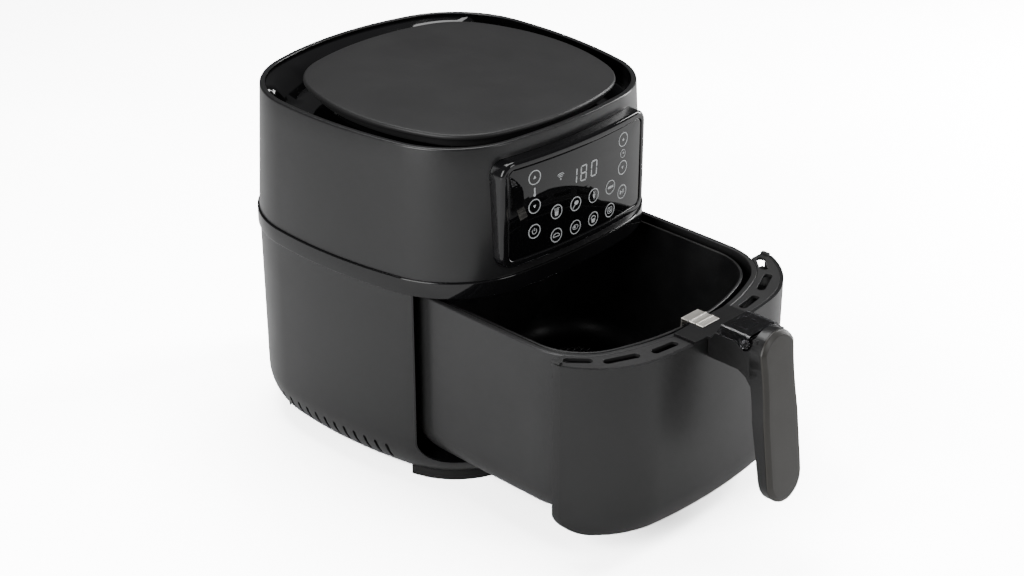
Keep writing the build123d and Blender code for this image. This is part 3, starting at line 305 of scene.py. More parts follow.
@dataclass(frozen=True)
class Plan:
    """Rounded plan of eight arcs that touch, seen from above and measured from its widest line."""

    half_width: float
    front: float
    back: float
    side_radius: float
    front_radius: float
    back_radius: float
    front_corner: float
    back_corner: float
    line_y: float = 0.0
    detail: int = 34

    def corner(self, depth: float, end_radius: float, corner: float) -> tuple[Array, float, float]:
        """Centre of a corner arc and the angles that it runs between.

        The arc touches the side arc and the end arc, so its centre is where two circles cross:
        one about each arc's centre, of its radius less the corner's.

        Args:
            depth: How far the end lies from the widest line.
            end_radius: Radius of the end arc.
            corner: Radius of the corner arc.

        Returns:
            The centre, the angle where the arc leaves the side and the one where it meets the end.
        """
        side = np.array([self.half_width - self.side_radius, 0.0])
        end = np.array([0.0, depth - end_radius])
        reach_side, reach_end = self.side_radius - corner, end_radius - corner
        span = np.linalg.norm(end - side)
        along = (reach_side**2 - reach_end**2 + span**2) / (2 * span)
        across = np.sqrt(reach_side**2 - along**2)
        run = (end - side) / span
        centre = side + along * run + across * np.array([-run[1], run[0]])
        return centre, float(np.arctan2(*(centre - side)[::-1])), float(np.arctan2(*(centre - end)[::-1]))

    def ring(self, inset: Array | float) -> Array:
        """Points of the plan, set in evenly: each arc keeps its centre and loses the inset in radius.

        Args:
            inset: One inset, or several.

        Returns:
            Points anticlockwise from the middle of the front, one more axis if there are several insets.
        """
        front_centre, front_side, front_end = self.corner(self.front, self.front_radius, self.front_corner)
        back_centre, back_side, back_end = self.corner(self.back, self.back_radius, self.back_corner)
        half_pi = np.pi / 2
        arcs = [
            ((0.0, self.front_radius - self.front), self.front_radius, -half_pi, -front_end),
            ((front_centre[0], -front_centre[1]), self.front_corner, -front_end, -front_side),
            ((self.half_width - self.side_radius, 0.0), self.side_radius, -front_side, back_side),
            (back_centre, self.back_corner, back_side, back_end),
            ((0.0, self.back - self.back_radius), self.back_radius, back_end, half_pi),
        ]
        angles = np.concatenate(
            [np.linspace(a, b, self.detail, endpoint=False) for *_, a, b in arcs] + [[half_pi]]
        )
        owner = np.append(np.repeat(np.arange(len(arcs)), self.detail), len(arcs) - 1)
        centres = np.array([arc[0] for arc in arcs])[owner]
        radii = np.array([arc[1] for arc in arcs])[owner]
        reach = radii - np.asarray(inset, float)[..., None]
        half = centres + reach[..., None] * np.stack([np.cos(angles), np.sin(angles)], axis=-1)
        mirrored = half[..., -2:0:-1, :] * np.array([-1.0, 1.0])
        return np.concatenate([half, mirrored], axis=-2) + np.array([0.0, self.line_y])

    def loops(self, profile: Array) -> Array:
        """Grid of points with one ring for each (inset, height) of a profile."""
        rings = self.ring(profile[:, 0])
        heights = np.broadcast_to(profile[:, 1][:, None, None], rings.shape[:2] + (1,))
        return np.concatenate([rings, heights], axis=-1)

    def front_face(self, across: Array, inset: Array | float) -> Array:
        """Y of the front of the plan at these X: on the front arc, or outside its ends on the corner arc."""
        centre, _, end_angle = self.corner(self.front, self.front_radius, self.front_corner)
        side = np.abs(across)
        end_reach, corner_reach = self.front_radius - inset, self.front_corner - inset
        on_end = np.sqrt(np.maximum(end_reach**2 - side**2, 0)) + self.front - self.front_radius
        on_corner = centre[1] + np.sqrt(np.maximum(corner_reach**2 - (side - centre[0]) ** 2, 0))
        join = self.front_radius * np.cos(end_angle)
        return self.line_y - np.where(side * self.front_radius < join * end_reach, on_end, on_corner)


BACK_EDGE, PAN_BACK = 0.1398, 0.113
HOUSING_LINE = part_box("trim_band")[1].y - BACK_EDGE
DRAWER_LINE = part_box("pan")[1].y - PAN_BACK
HOUSING = Plan(0.1575, 0.1777, BACK_EDGE, 0.447, 0.5, 0.297, 0.091, 0.1, HOUSING_LINE)
OPEN_HOUSING = Plan(0.1575, 0.1777, BACK_EDGE, 0.447, 0.5, 0.297, 0.091, 0.1, DRAWER_LINE)
PAN = Plan(0.1297, 0.156, PAN_BACK, 4.0, 0.232, 1.5, 0.062, 0.078, DRAWER_LINE)
BASKET = Plan(0.1175, 0.1425, 0.103, 4.0, 0.222, 1.5, 0.054, 0.068, DRAWER_LINE)
LID = Plan(0.1255, 0.126, 0.126, 0.204, 0.24, 0.24, 0.067, 0.067, HOUSING_LINE - 0.0333)
FRONT_CENTRE = HOUSING_LINE + HOUSING.front_radius - HOUSING.front


# ==== finishes ===================================================================================


@dataclass
class Nodes:
    """A material's node tree, with short calls for the nodes that the finishes share."""

    name: str

    def __post_init__(self) -> None:
        """Make the material, its shader and the coordinates."""
        self.material = bpy.data.materials.new(self.name)
        self.material.use_nodes = True
        self.tree = self.material.node_tree
        self.shader = self.tree.nodes["Principled BSDF"]
        self.places = self.tree.nodes.new("ShaderNodeTexCoord").outputs["Object"]

    def link(self, source: bpy.types.NodeSocket, target: bpy.types.NodeSocket) -> None:
        """Join two sockets."""
        self.tree.links.new(source, target)

    def feed(self, name: str, source: bpy.types.NodeSocket) -> None:
        """Join a socket to one of the shader's own, by its name."""
        self.link(source, self.shader.inputs[name])

    def stretched(self, scale: tuple[float, float, float]) -> bpy.types.NodeSocket:
        """Coordinates scaled along each axis."""
        node = self.tree.nodes.new("ShaderNodeMapping")
        node.inputs["Scale"].default_value = scale
        self.link(self.places, node.inputs["Vector"])
        return node.outputs["Vector"]

    def noise(
        self, scale: float, detail: float = 3.0, vector: bpy.types.NodeSocket | None = None
    ) -> bpy.types.NodeSocket:
        """Noise with this many patches per metre."""
        node = self.tree.nodes.new("ShaderNodeTexNoise")
        node.inputs["Scale"].default_value = scale
        node.inputs["Detail"].default_value = detail
        self.link(vector or self.places, node.inputs["Vector"])
        return node.outputs["Fac"]

    def spots(self, scale: float) -> bpy.types.NodeSocket:
        """Distance to the nearest of random points, this many per metre."""
        node = self.tree.nodes.new("ShaderNodeTexVoronoi")
        node.inputs["Scale"].default_value = scale
        self.link(self.places, node.inputs["Vector"])
        return node.outputs["Distance"]

    def spread(
        self, value: bpy.types.NodeSocket, low: float, high: float, start: float = 0.3, end: float = 0.7
    ) -> bpy.types.NodeSocket:
        """Value from start to end stretched to run from low to high."""
        node = self.tree.nodes.new("ShaderNodeMapRange")
        for socket, number in zip(("From Min", "From Max", "To Min", "To Max"), (start, end, low, high)):
            node.inputs[socket].default_value = number
        self.link(value, node.inputs["Value"])
        return node.outputs["Result"]

    def colours(
        self, value: bpy.types.NodeSocket, dark: Colour, light: Colour, start: float = 0.3, end: float = 0.7
    ) -> bpy.types.NodeSocket:
        """Colour that runs from dark to light as the value runs from start to end."""
        node = self.tree.nodes.new("ShaderNodeValToRGB")
        for element, place, colour in zip(node.color_ramp.elements, (start, end), (dark, light)):
            element.position, element.color = place, (*colour, 1.0)
        self.link(value, node.inputs["Fac"])
        return node.outputs["Color"]

    def relief(self, value: bpy.types.NodeSocket, height: float, strength: float = 1.0) -> None:
        """Raise the surface by the value, up to this height in metres."""
        node = self.tree.nodes.new("ShaderNodeBump")
        node.inputs["Distance"].default_value = height
        node.inputs["Strength"].default_value = strength
        self.link(value, node.inputs["Height"])
        self.feed("Normal", node.outputs["Normal"])

    def set(self, **values: float | tuple) -> None:
        """Set the shader's own sockets, named with _ for a space."""
        for name, value in values.items():
            self.shader.inputs[name.replace("_", " ")].default_value = value


@dataclass(frozen=True)
class Moulded:
    """Moulded plastic: a fine even grain, slow drifts of tone and faint patches where hands polish it."""

    name: str
    dark: Colour
    light: Colour
    rough: tuple[float, float] = (0.36, 0.46)
    grain: float = 1500.0
    height: float = 0.00004
    drift: float = 9.0
    coat: float = 0.0
    level: float = 0.5

    def material(self) -> bpy.types.Material:
        """Build the node material."""
        nodes = Nodes(self.name)
        nodes.feed("Base Color", nodes.colours(nodes.noise(self.drift), self.dark, self.light))
        nodes.feed("Roughness", nodes.spread(nodes.noise(26.0, 5.0), *self.rough))
        nodes.relief(nodes.noise(self.grain, 2.0), self.height)
        nodes.set(Specular_IOR_Level=self.level, Coat_Weight=self.coat, Coat_Roughness=0.08)
        return nodes.material


@dataclass(frozen=True)
class Gloss:
    """Polished plastic or glass: near black, with faint smears and fine ripples from moulding."""

    name: str
    dark: Colour = (0.0035, 0.0035, 0.0038)
    light: Colour = (0.006, 0.006, 0.0065)
    rough: tuple[float, float] = (0.04, 0.11)
    ripple: float = 0.000015
    ior: float = 1.5

    def material(self) -> bpy.types.Material:
        """Build the node material."""
        nodes = Nodes(self.name)
        nodes.feed("Base Color", nodes.colours(nodes.noise(14.0), self.dark, self.light))
        smears = nodes.noise(38.0, 7.0, nodes.stretched((1.0, 1.0, 2.6)))
        nodes.feed("Roughness", nodes.spread(smears, *self.rough, 0.42, 0.72))
        nodes.relief(nodes.noise(60.0, 1.0), self.ripple)
        nodes.set(IOR=self.ior)
        return nodes.material


@dataclass(frozen=True)
class Metal:
    """Sheet metal: rolled or brushed streaks along one axis, uneven gloss and a little stain."""

    name: str
    dark: Colour
    light: Colour
    rough: tuple[float, float] = (0.22, 0.38)
    streaks: tuple[float, float, float] = (60.0, 60.0, 2200.0)
    height: float = 0.00002
    metallic: float = 1.0

    def material(self) -> bpy.types.Material:
        """Build the node material."""
        nodes = Nodes(self.name)
        lines = nodes.noise(1.0, 4.0, nodes.stretched(self.streaks))
        nodes.feed("Base Color", nodes.colours(nodes.noise(16.0, 5.0), self.dark, self.light))
        nodes.feed("Roughness", nodes.spread(lines, *self.rough))
        nodes.relief(lines, self.height)
        nodes.set(Metallic=self.metallic)
        return nodes.material


@dataclass(frozen=True)
class Coating:
    """Non-stick coating: dark, slightly pebbled, with fine mineral specks."""

    name: str
    dark: Colour = (0.005, 0.005, 0.0053)
    light: Colour = (0.02, 0.02, 0.021)
    rough: tuple[float, float] = (0.34, 0.5)
    specks: float = 520.0

    def material(self) -> bpy.types.Material:
        """Build the node material."""
        nodes = Nodes(self.name)
        specks = nodes.spots(self.specks)
        nodes.feed("Base Color", nodes.colours(specks, self.light, self.dark, 0.08, 0.22))
        nodes.feed("Roughness", nodes.spread(nodes.noise(40.0, 4.0), *self.rough))
        nodes.relief(nodes.noise(900.0, 3.0), 0.00005)
        return nodes.material


@dataclass(frozen=True)
class Clear:
    """Clear moulded plastic with a smoky tint and fine scratches."""

    name: str
    tint: Colour = (0.5, 0.5, 0.52)
    rough: tuple[float, float] = (0.02, 0.07)

    def material(self) -> bpy.types.Material:
        """Build the node material."""
        nodes = Nodes(self.name)
        scratches = nodes.noise(1.0, 6.0, nodes.stretched((900.0, 60.0, 60.0)))
        nodes.feed("Roughness", nodes.spread(scratches, *self.rough, 0.5, 0.8))
        nodes.relief(nodes.noise(240.0, 2.0), 0.00001)
        nodes.set(Base_Color=(*self.tint, 1.0), Transmission_Weight=1.0, IOR=1.49)
        return nodes.material


@dataclass(frozen=True)
class Print:
    """Back-lit print: pale ink with an uneven glow."""

    name: str
    ink: Colour = (0.55, 0.57, 0.58)
    glow: float = 0.12

    def material(self) -> bpy.types.Material:
        """Build the node material."""
        nodes = Nodes(self.name)
        tone = nodes.colours(nodes.noise(420.0, 3.0), tuple(0.72 * part for part in self.ink), self.ink)
        nodes.feed("Base Color", tone)
        nodes.feed("Emission Color", tone)
        nodes.set(Roughness=0.5, Emission_Strength=self.glow)
        return nodes.material


@dataclass(frozen=True)
class Board:
    """Printed circuit board: green resist over a net of lighter copper tracks."""

    name: str
    resist: Colour = (0.004, 0.05, 0.018)
    track: Colour = (0.02, 0.14, 0.05)

    def material(self) -> bpy.types.Material:
        """Build the node material."""
        nodes = Nodes(self.name)
        cells = nodes.tree.nodes.new("ShaderNodeTexVoronoi")
        cells.distance, cells.feature = "MANHATTAN", "F2"
        cells.inputs["Scale"].default_value = 240.0
        nodes.link(nodes.places, cells.inputs["Vector"])
        tone = nodes.colours(cells.outputs["Distance"], self.resist, self.track, 0.7, 0.74)
        nodes.feed("Base Color", tone)
        nodes.relief(cells.outputs["Distance"], 0.00003)
        nodes.set(Roughness=0.32, Coat_Weight=0.4)
        return nodes.material


class Finishes:
    """Every finish of the fryer, by the name of its slot."""

    def __init__(self) -> None:
        """Build the materials."""
        charcoal, coal = (0.0105, 0.0105, 0.011), (0.0085, 0.0085, 0.0088)
        made = {
            "shell": Moulded("satin_shell", coal, charcoal, (0.3, 0.35), coat=0.1),
            "lid": Moulded(
                "matt_lid", (0.012, 0.012, 0.0122), (0.0145, 0.0145, 0.0148), (0.44, 0.5), 2100.0
            ),
            "gloss_black": Gloss("gloss_black"),
            "black_plastic": Moulded(
                "black_plastic", (0.0035, 0.0035, 0.0035), (0.006, 0.006, 0.006), (0.42, 0.56)
            ),
            "drawer_front": Moulded(
                "drawer_front", (0.0055, 0.0055, 0.0057), (0.007, 0.007, 0.0073), (0.34, 0.4)
            ),
            "rim": Moulded(
                "rim_plate", (0.012, 0.012, 0.0122), (0.015, 0.015, 0.0153), (0.46, 0.54), 1800.0
            ),
            "pan": Metal(
                "pan_coat",
                (0.03, 0.03, 0.0305),
                (0.034, 0.034, 0.0345),
                (0.36, 0.4),
                (1800.0,) * 3,
                metallic=0.35,
            ),
            "coating": Coating("basket_coat"),
            "clip": Metal(
                "brushed_clip", (0.86, 0.83, 0.76), (0.95, 0.92, 0.86), (0.3, 0.42), (30.0, 2400.0, 2400.0)
            ),
            "steel": Metal("zinc_steel", (0.42, 0.42, 0.43), (0.6, 0.6, 0.61)),
            "element": Metal("element_tube", (0.06, 0.05, 0.045), (0.2, 0.17, 0.14), (0.4, 0.6)),
            "aluminium": Metal("aluminium", (0.62, 0.63, 0.65), (0.78, 0.79, 0.8), (0.25, 0.4)),
            "board": Board("circuit_board"),
            "touch_glass": Gloss(
                "touch_glass", (0.002, 0.002, 0.0022), (0.003, 0.003, 0.0033), (0.01, 0.035), 0.0
            ),
            "handle": Moulded(
                "handle_plastic", (0.004, 0.004, 0.0042), (0.0055, 0.0055, 0.0057), (0.3, 0.36), coat=0.1
            ),
            "inlay": Moulded(
                "warm_inlay", (0.025, 0.0232, 0.02), (0.029, 0.027, 0.0235), (0.36, 0.42), 1900.0
            ),
            "cover": Clear("smoky_cover"),
            "rubber": Moulded(
                "rubber", (0.009, 0.009, 0.009), (0.014, 0.014, 0.014), (0.66, 0.8), 900.0, level=0.3
            ),
            "print": Print("lit_print"),
        }
        self.materials = {slot: finish.material() for slot, finish in made.items()}

    def dress(
        self, piece: bpy.types.Object, body: str, slot: str, *nodes: str, extra: tuple[str, ...] = ()
    ) -> bpy.types.Object:
        """Give a new piece its finish and its body, and hide the CAD nodes that it stands for.

        Args:
            piece: The new piece.
            body: The body it moves with.
            slot: The slot of its finish.
            nodes: The CAD nodes it replaces.
            extra: Further finishes, by slot, for faces with a higher number.

        Returns:
            The piece.
        """
        piece.data.materials.clear()
        for name in (slot, *extra):
            piece.data.materials.append(self.materials[name])
        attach(piece, body)
        if nodes:
            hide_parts(*nodes)
        return piece

    def dress_frame(self) -> None:
        """Give every CAD node the finish of its slot."""
        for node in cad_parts.values():
            for place in node.material_slots:
                place.material = self.materials[place.material.name.split(".")[0]]


# ==== housing ====================================================================================


@dataclass
class HousingShells:
    """The two satin shells and the gloss band between them."""

    finishes: Finishes
    reveal: float = 0.0019
    wall: float = 0.0025
    band_low: float = 0.191
    band_high: float = 0.2065
    band_edge: float = 0.0012
    crease_z: float = 0.0457
    foot: float = 0.01
    curl: float = 0.05
    rim_z: float = 0.325
    rim_turn_in: float = 0.0087
    rim_lip: float = 0.005
    mouth_half: float = 0.1397
    mouth_low: float = 0.025
    mouth_corner: float = 0.02
    vent_count: int = 13
    vent_pitch: float = 0.0124
    vent_front: float = -0.0835
    vent_length: float = 0.017
    vent_width: float = 0.0032
    vent_z: float = 0.024
    panel_half: float = 0.09
    panel_z: tuple[float, float] = (0.215, 0.312)
    panel_corner: float = 0.013
    exhaust_half: float = 0.055
    exhaust_z: tuple[float, float] = (0.228, 0.284)
    gland_z: float = 0.062
    gland_radius: float = 0.008
    mouth_top: float = 0.3
    mouth_cut: tuple[float, float] = (0.06, 0.2)
    panel_cut: tuple[float, float] = (-0.2, -0.12)
    exhaust_cut: tuple[float, float] = (0.115, 0.15)
    gland_cut: tuple[float, float] = (0.12, 0.15)
    exhaust_corner: float = 0.008

    def through(self, outline: Array, run: tuple[float, float]) -> bpy.types.Object:
        """Cutter of an outline in X and Z, run along Y between two places behind the widest line."""
        return prism(outline, 1, HOUSING_LINE + run[0], HOUSING_LINE + run[1])

    def curled_wall(self, thickness: float, top: float) -> Array:
        """Closed section of the lower wall: upright, then a quarter-like arc inwards down to the base.

        The outer arc has the curl's radius and the inner arc shares its centre.
        """
        last = np.arcsin((self.crease_z - self.foot) / self.curl)
        angles = np.linspace(0.0, last, 15)
        centre = self.reveal + self.curl
        inner = self.curl - thickness
        outside = np.stack(
            [centre - self.curl * np.cos(angles), self.crease_z - self.curl * np.sin(angles)], axis=-1
        )
        inside = np.stack(
            [centre - inner * np.cos(angles), self.crease_z - inner * np.sin(angles)], axis=-1
        )
        upright = np.linspace(top, self.crease_z, 12, endpoint=False)[:, None]
        outer_wall = np.concatenate([np.full_like(upright, self.reveal), upright], axis=-1)
        inner_wall = outer_wall[::-1] + np.array([thickness, 0.0])
        return np.concatenate([outer_wall, outside, inside[::-1], inner_wall])

    def mouth(self, line_y: float, gap: float = 0.0) -> bpy.types.Object:
        """Cutter of the drawer opening less a gap: upright sides and round lower corners.

        Args:
            line_y: The body's widest line.
            gap: How much smaller than the opening the cutter is, all round.

        Returns:
            The cutter.
        """
        half, low, corner = self.mouth_half - gap, self.mouth_low + gap, self.mouth_corner - gap
        points = [(-half, low), (half, low), (half, self.mouth_top), (-half, self.mouth_top)]
        outline = rounded(points, [corner, corner, 0.0, 0.0], steps=14)
        return prism(outline, 1, line_y - self.mouth_cut[1], line_y - self.mouth_cut[0])

    def lower(self) -> bpy.types.Object:
        """Lower shell with the drawer's mouth, the side vents and the hole for the gland cut out."""
        grid = HOUSING.loops(self.curled_wall(self.wall, self.band_low))
        piece = Surface().add_loop_grid(grid).piece("lower_shell_skin")
        carve(piece, self.mouth(HOUSING_LINE))
        slot = rounded_box(self.vent_width / 2, self.vent_length / 2, self.vent_width / 2 - 1e-5, 5)
        places = HOUSING_LINE + self.vent_front + self.vent_pitch * np.arange(self.vent_count)
        for place in places:
            outline = slot + np.array([place, self.vent_z])
            carve(piece, prism(outline, 0, -HOUSING.half_width, HOUSING.half_width))
        hole = rounded_box(self.gland_radius, self.gland_radius, self.gland_radius - 1e-5)
        hole = hole + np.array([0.0, self.gland_z])
        carve(piece, self.through(hole, self.gland_cut))
        return self.finishes.dress(piece, "housing", "shell", "lower_shell")

    def upper(self) -> bpy.types.Object:
        """Upper shell, leaning in to its rim, with windows for the touch panel and the exhaust."""
        inner = self.reveal + self.wall
        section = rounded(
            [
                (self.reveal, self.band_high),
                (self.rim_turn_in, self.rim_z),
                (self.rim_turn_in + self.rim_lip, self.rim_z),
                (self.rim_turn_in + self.rim_lip, self.rim_z - self.wall),
                (self.rim_turn_in + self.wall, self.rim_z - self.wall),
                (inner, self.band_high),
            ],
            [0.0, 0.0017, 0.0009, 0.0, 0.0005, 0.0],
        )
        section = resample(section, 0.02)
        grid = HOUSING.loops(section)
        following = np.roll(section, -1, axis=0)
        on_lip = (section[:, 1] > self.rim_z - 0.0006) & (following[:, 1] > self.rim_z - self.wall - 1e-6)
        paint = np.repeat((on_lip & (section[:, 0] > self.rim_turn_in + 0.0005)).astype(int), grid.shape[1])
        piece = Surface().add_loop_grid(grid, paint).piece("upper_shell_skin")
        middle = sum(self.panel_z) / 2
        window = rounded_box(self.panel_half, self.panel_z[1] - middle, self.panel_corner)
        window = window + np.array([0.0, middle])
        carve(piece, self.through(window, self.panel_cut))
        middle = sum(self.exhaust_z) / 2
        window = rounded_box(
            self.exhaust_half, self.exhaust_z[1] - middle, self.exhaust_corner
        ) + np.array([0.0, middle])
        carve(piece, self.through(window, self.exhaust_cut))
        return self.finishes.dress(piece, "housing", "shell", "upper_shell", extra=("gloss_black",))

    def band(self) -> bpy.types.Object:
        """Gloss band, a little proud of both shells, with rounded edges."""
        inner = self.reveal + self.wall
        section = rounded(
            [(0.0, self.band_low), (0.0, self.band_high), (inner, self.band_high), (inner, self.band_low)],
            [self.band_edge, self.band_edge, 0.0, 0.0],
        )
        piece = Surface().add_loop_grid(HOUSING.loops(section)).piece("trim_band_skin")
        return self.finishes.dress(piece, "housing", "gloss_black", "trim_band")


@dataclass
class Top:
    """The gloss channel round the lid, its ramp at the back, and the lid plate."""

    finishes: Finishes
    rim_z: float = 0.325
    outer_inset: float = 0.0139
    moat_z: float = 0.303
    boss_inset: float = 0.024
    ramp_high: float = 0.3215
    ramp_low: float = 0.3065
    ramp_line: float = 0.075
    ramp_slant: float = 0.45
    slant_from: float = 0.115
    slant_reach: float = 0.04
    ease_ahead: float = 0.006
    ease_length: float = 0.014
    skin: float = 0.002
    lid_z: float = 0.329
    lid_thick: float = 0.013
    lid_edge: float = 0.0048
    undercut: float = 0.007

    def channel(self) -> bpy.types.Object:
        """Channel as one skin from the rim down, across and up to the lid's boss, and back underneath.

        Across the floor the points go straight from the outer ring to the lid's ring. Behind a slanting
        line the floor is a ramp that falls from just under the rim to the lid's back edge, and the two
        shapes are mixed with an S-shaped ease.
        """
        outer = HOUSING.ring(self.outer_inset)
        inner = LID.ring(self.boss_inset)
        share = np.array([0.0, 0.0, 0.012, 0.03, 0.06, 0.09, 0.15, 0.3, 0.45, 0.6, 0.75, 0.9, 1.0, 1.0])
        drop = np.array([0.0, 0.55, 0.8, 0.93, 0.985, 1.0, 1.0, 1.0, 1.0, 1.0, 1.0, 1.0, 1.0])
        top = self.rim_z - 0.0008
        flat = top + (self.moat_z - top) * drop
        plan = outer + share[:-1, None, None] * (inner - outer)
        local = plan - np.array([0.0, HOUSING_LINE])
        line = self.ramp_line + self.ramp_slant * np.clip(
            self.slant_from - np.abs(local[..., 0]), 0.0, self.slant_reach
        )
        behind = smoothstep((local[..., 1] - line + self.ease_ahead) / self.ease_length)
        ramp = self.ramp_high + (self.ramp_low - self.ramp_high) * np.minimum(share[:-1] / 0.75, 1.0)
        ramp = np.where(share[:-1] < 0.001, np.where(drop > 0.0, self.ramp_high, top), ramp)
        heights = flat[:, None] + (np.maximum(ramp, flat)[:, None] - flat[:, None]) * behind
        upper = np.concatenate([plan, heights[..., None]], axis=-1)
        boss_top = np.concatenate([inner, np.full((len(inner), 1), self.lid_z - self.lid_thick)], axis=-1)
        under = upper[::-1] - np.array([0.0, 0.0, self.skin])
        under[0, :, 2] = boss_top[:, 2]
        under[0, :, :2] = LID.ring(self.boss_inset + self.skin)
        grid = np.concatenate([upper, boss_top[None], under])
        satin = np.zeros((len(grid), len(outer)), int)
        satin[1 : len(behind) - 1] = behind[1:-1] > 0.5
        piece = Surface().add_loop_grid(grid, satin.ravel()).piece("air_channel")
        return self.finishes.dress(piece, "housing", "gloss_black", "air_inlet_tray", extra=("shell",))

    def lid(self) -> bpy.types.Object:
        """Lid plate: flat, with a thin rounded edge that is undercut all round."""
        low_z, edge_z = self.lid_z - self.lid_thick, self.lid_z - self.lid_edge
        section = rounded(
            [
                (0.05, low_z),
                (self.undercut, low_z),
                (self.undercut, edge_z),
                (0.0, edge_z),
                (0.0, self.lid_z),
                (0.05, self.lid_z),
            ],
            [0.0, 0.001, 0.0008, 0.0016, 0.0024, 0.0],
            closed=False,
            steps=7,
        )
        grid = LID.loops(resample(section, 0.01, closed=False))
        low = np.array([0.0, LID.line_y, low_z])
        high = np.array([0.0, LID.line_y, self.lid_z])
        piece = Surface().add_capped(grid, low, high).piece("lid_plate")
        return self.finishes.dress(piece, "housing", "lid", "top_plate")


@dataclass
class Mouth:
    """Gloss frame round the drawer opening: a lip in the shell's surface, a step, a thin rib and a throat."""

    finishes: Finishes
    shell_reveal: float = 0.0019
    crease_z: float = 0.0457
    curl: float = 0.05
    top: float = 0.191
    half: float = 0.1397
    low: float = 0.025
    throat_ahead: float = 0.0842
    back_spread: float = 0.0095
    back_drop: float = 0.0018

    def shell_y(self, across: Array, height: Array) -> Array:
        """Y of the shell's outer face at these places, on its curl below the crease."""
        drop = np.clip(self.crease_z - height, 0.0, self.curl)
        inset = self.shell_reveal + self.curl - np.sqrt(self.curl**2 - drop**2)
        return HOUSING.front_face(across, inset)

    def outline(self, half: float, low: float, corner: float) -> Array:
        """Open U of the same number of points for any size: side, corner arc, floor, corner arc, side."""
        turn = np.linspace(0.0, np.pi / 2, 13)
        arc = np.stack(
            [half - corner + corner * np.cos(turn), low + corner - corner * np.sin(turn)], axis=-1
        )
        side = np.stack(
            [np.full(14, half), np.linspace(self.top, low + corner, 14, endpoint=False)], axis=-1
        )
        floor = np.stack([np.linspace(half - corner, 0.0, 20)[1:], np.full(19, low)], axis=-1)
        right = np.concatenate([side, arc, floor])
        left = right[-2::-1] * np.array([-1.0, 1.0])
        return np.concatenate([right, left])

    def build(self) -> bpy.types.Object:
        """Carry the frame's section round the U, from its lip in the shell's surface to the throat.

        A row holds the U's inset and rise, its corner radius, how far ahead of the widest line it stands
        (or None where it follows the shell's face), and how deep it is sunk below that face.
        """
        rows: list[tuple[float, float, float, float | None, float]] = [
            (-0.0001, 0.0, 0.02, None, 0.0006),
            (0.0003, 0.0002, 0.02, None, 0.0001),
            (0.0007, 0.0004, 0.0195, None, 0.0006),
            (0.0007, 0.0004, 0.0195, None, 0.0042),
            (0.0014, 0.0006, 0.0193, None, 0.005),
            (0.002, 0.0006, 0.019, None, 0.0058),
            (0.002, 0.0006, 0.019, 0.0975, 0.0),
            (0.0027, 0.0008, 0.019, 0.0965, 0.0),
            (0.0042, 0.0012, 0.0205, 0.0963, 0.0),
            (0.0043, 0.0013, 0.0206, 0.0978, 0.0),
            (0.0047, 0.0014, 0.0209, 0.0982, 0.0),
            (0.0059, 0.0018, 0.0222, 0.0982, 0.0),
            (0.0063, 0.0019, 0.0226, 0.0978, 0.0),
            (0.0064, 0.002, 0.0228, 0.0962, 0.0),
            (0.0076, 0.0024, 0.027, 0.096, 0.0),
            (0.0081, 0.0026, 0.0285, 0.0952, 0.0),
            (0.0081, 0.0026, 0.029, self.throat_ahead, 0.0),
            (0.0095, 0.0, 0.029, self.throat_ahead, 0.0),
        ]
        grid = []
        for inset, rise, corner, ahead, sunk in rows:
            outline = self.outline(self.half - inset, self.low + rise, corner)
            if ahead is None:
                depth = self.shell_y(outline[:, 0], outline[:, 1]) + sunk
            else:
                depth = np.full(len(outline), HOUSING_LINE - ahead)
            grid.append(np.stack([outline[:, 0], depth, outline[:, 1]], axis=-1))
        front, back = grid[0].copy(), grid[-1].copy()
        back[:, 0] += np.sign(back[:, 0]) * self.back_spread
        back[:, 2] -= np.where(back[:, 2] < self.low + 0.005, self.back_drop, 0.0)
        back[:, 1] = np.maximum(front[:, 1] + 0.002, HOUSING_LINE - self.throat_ahead)
        grid[-1] = back
        piece = Surface().add(np.array(grid), quads(len(grid), len(front), True)).piece("mouth_frame")
        return self.finishes.dress(piece, "housing", "gloss_black", "opening_frame")


# ==== touch panel ================================================================================


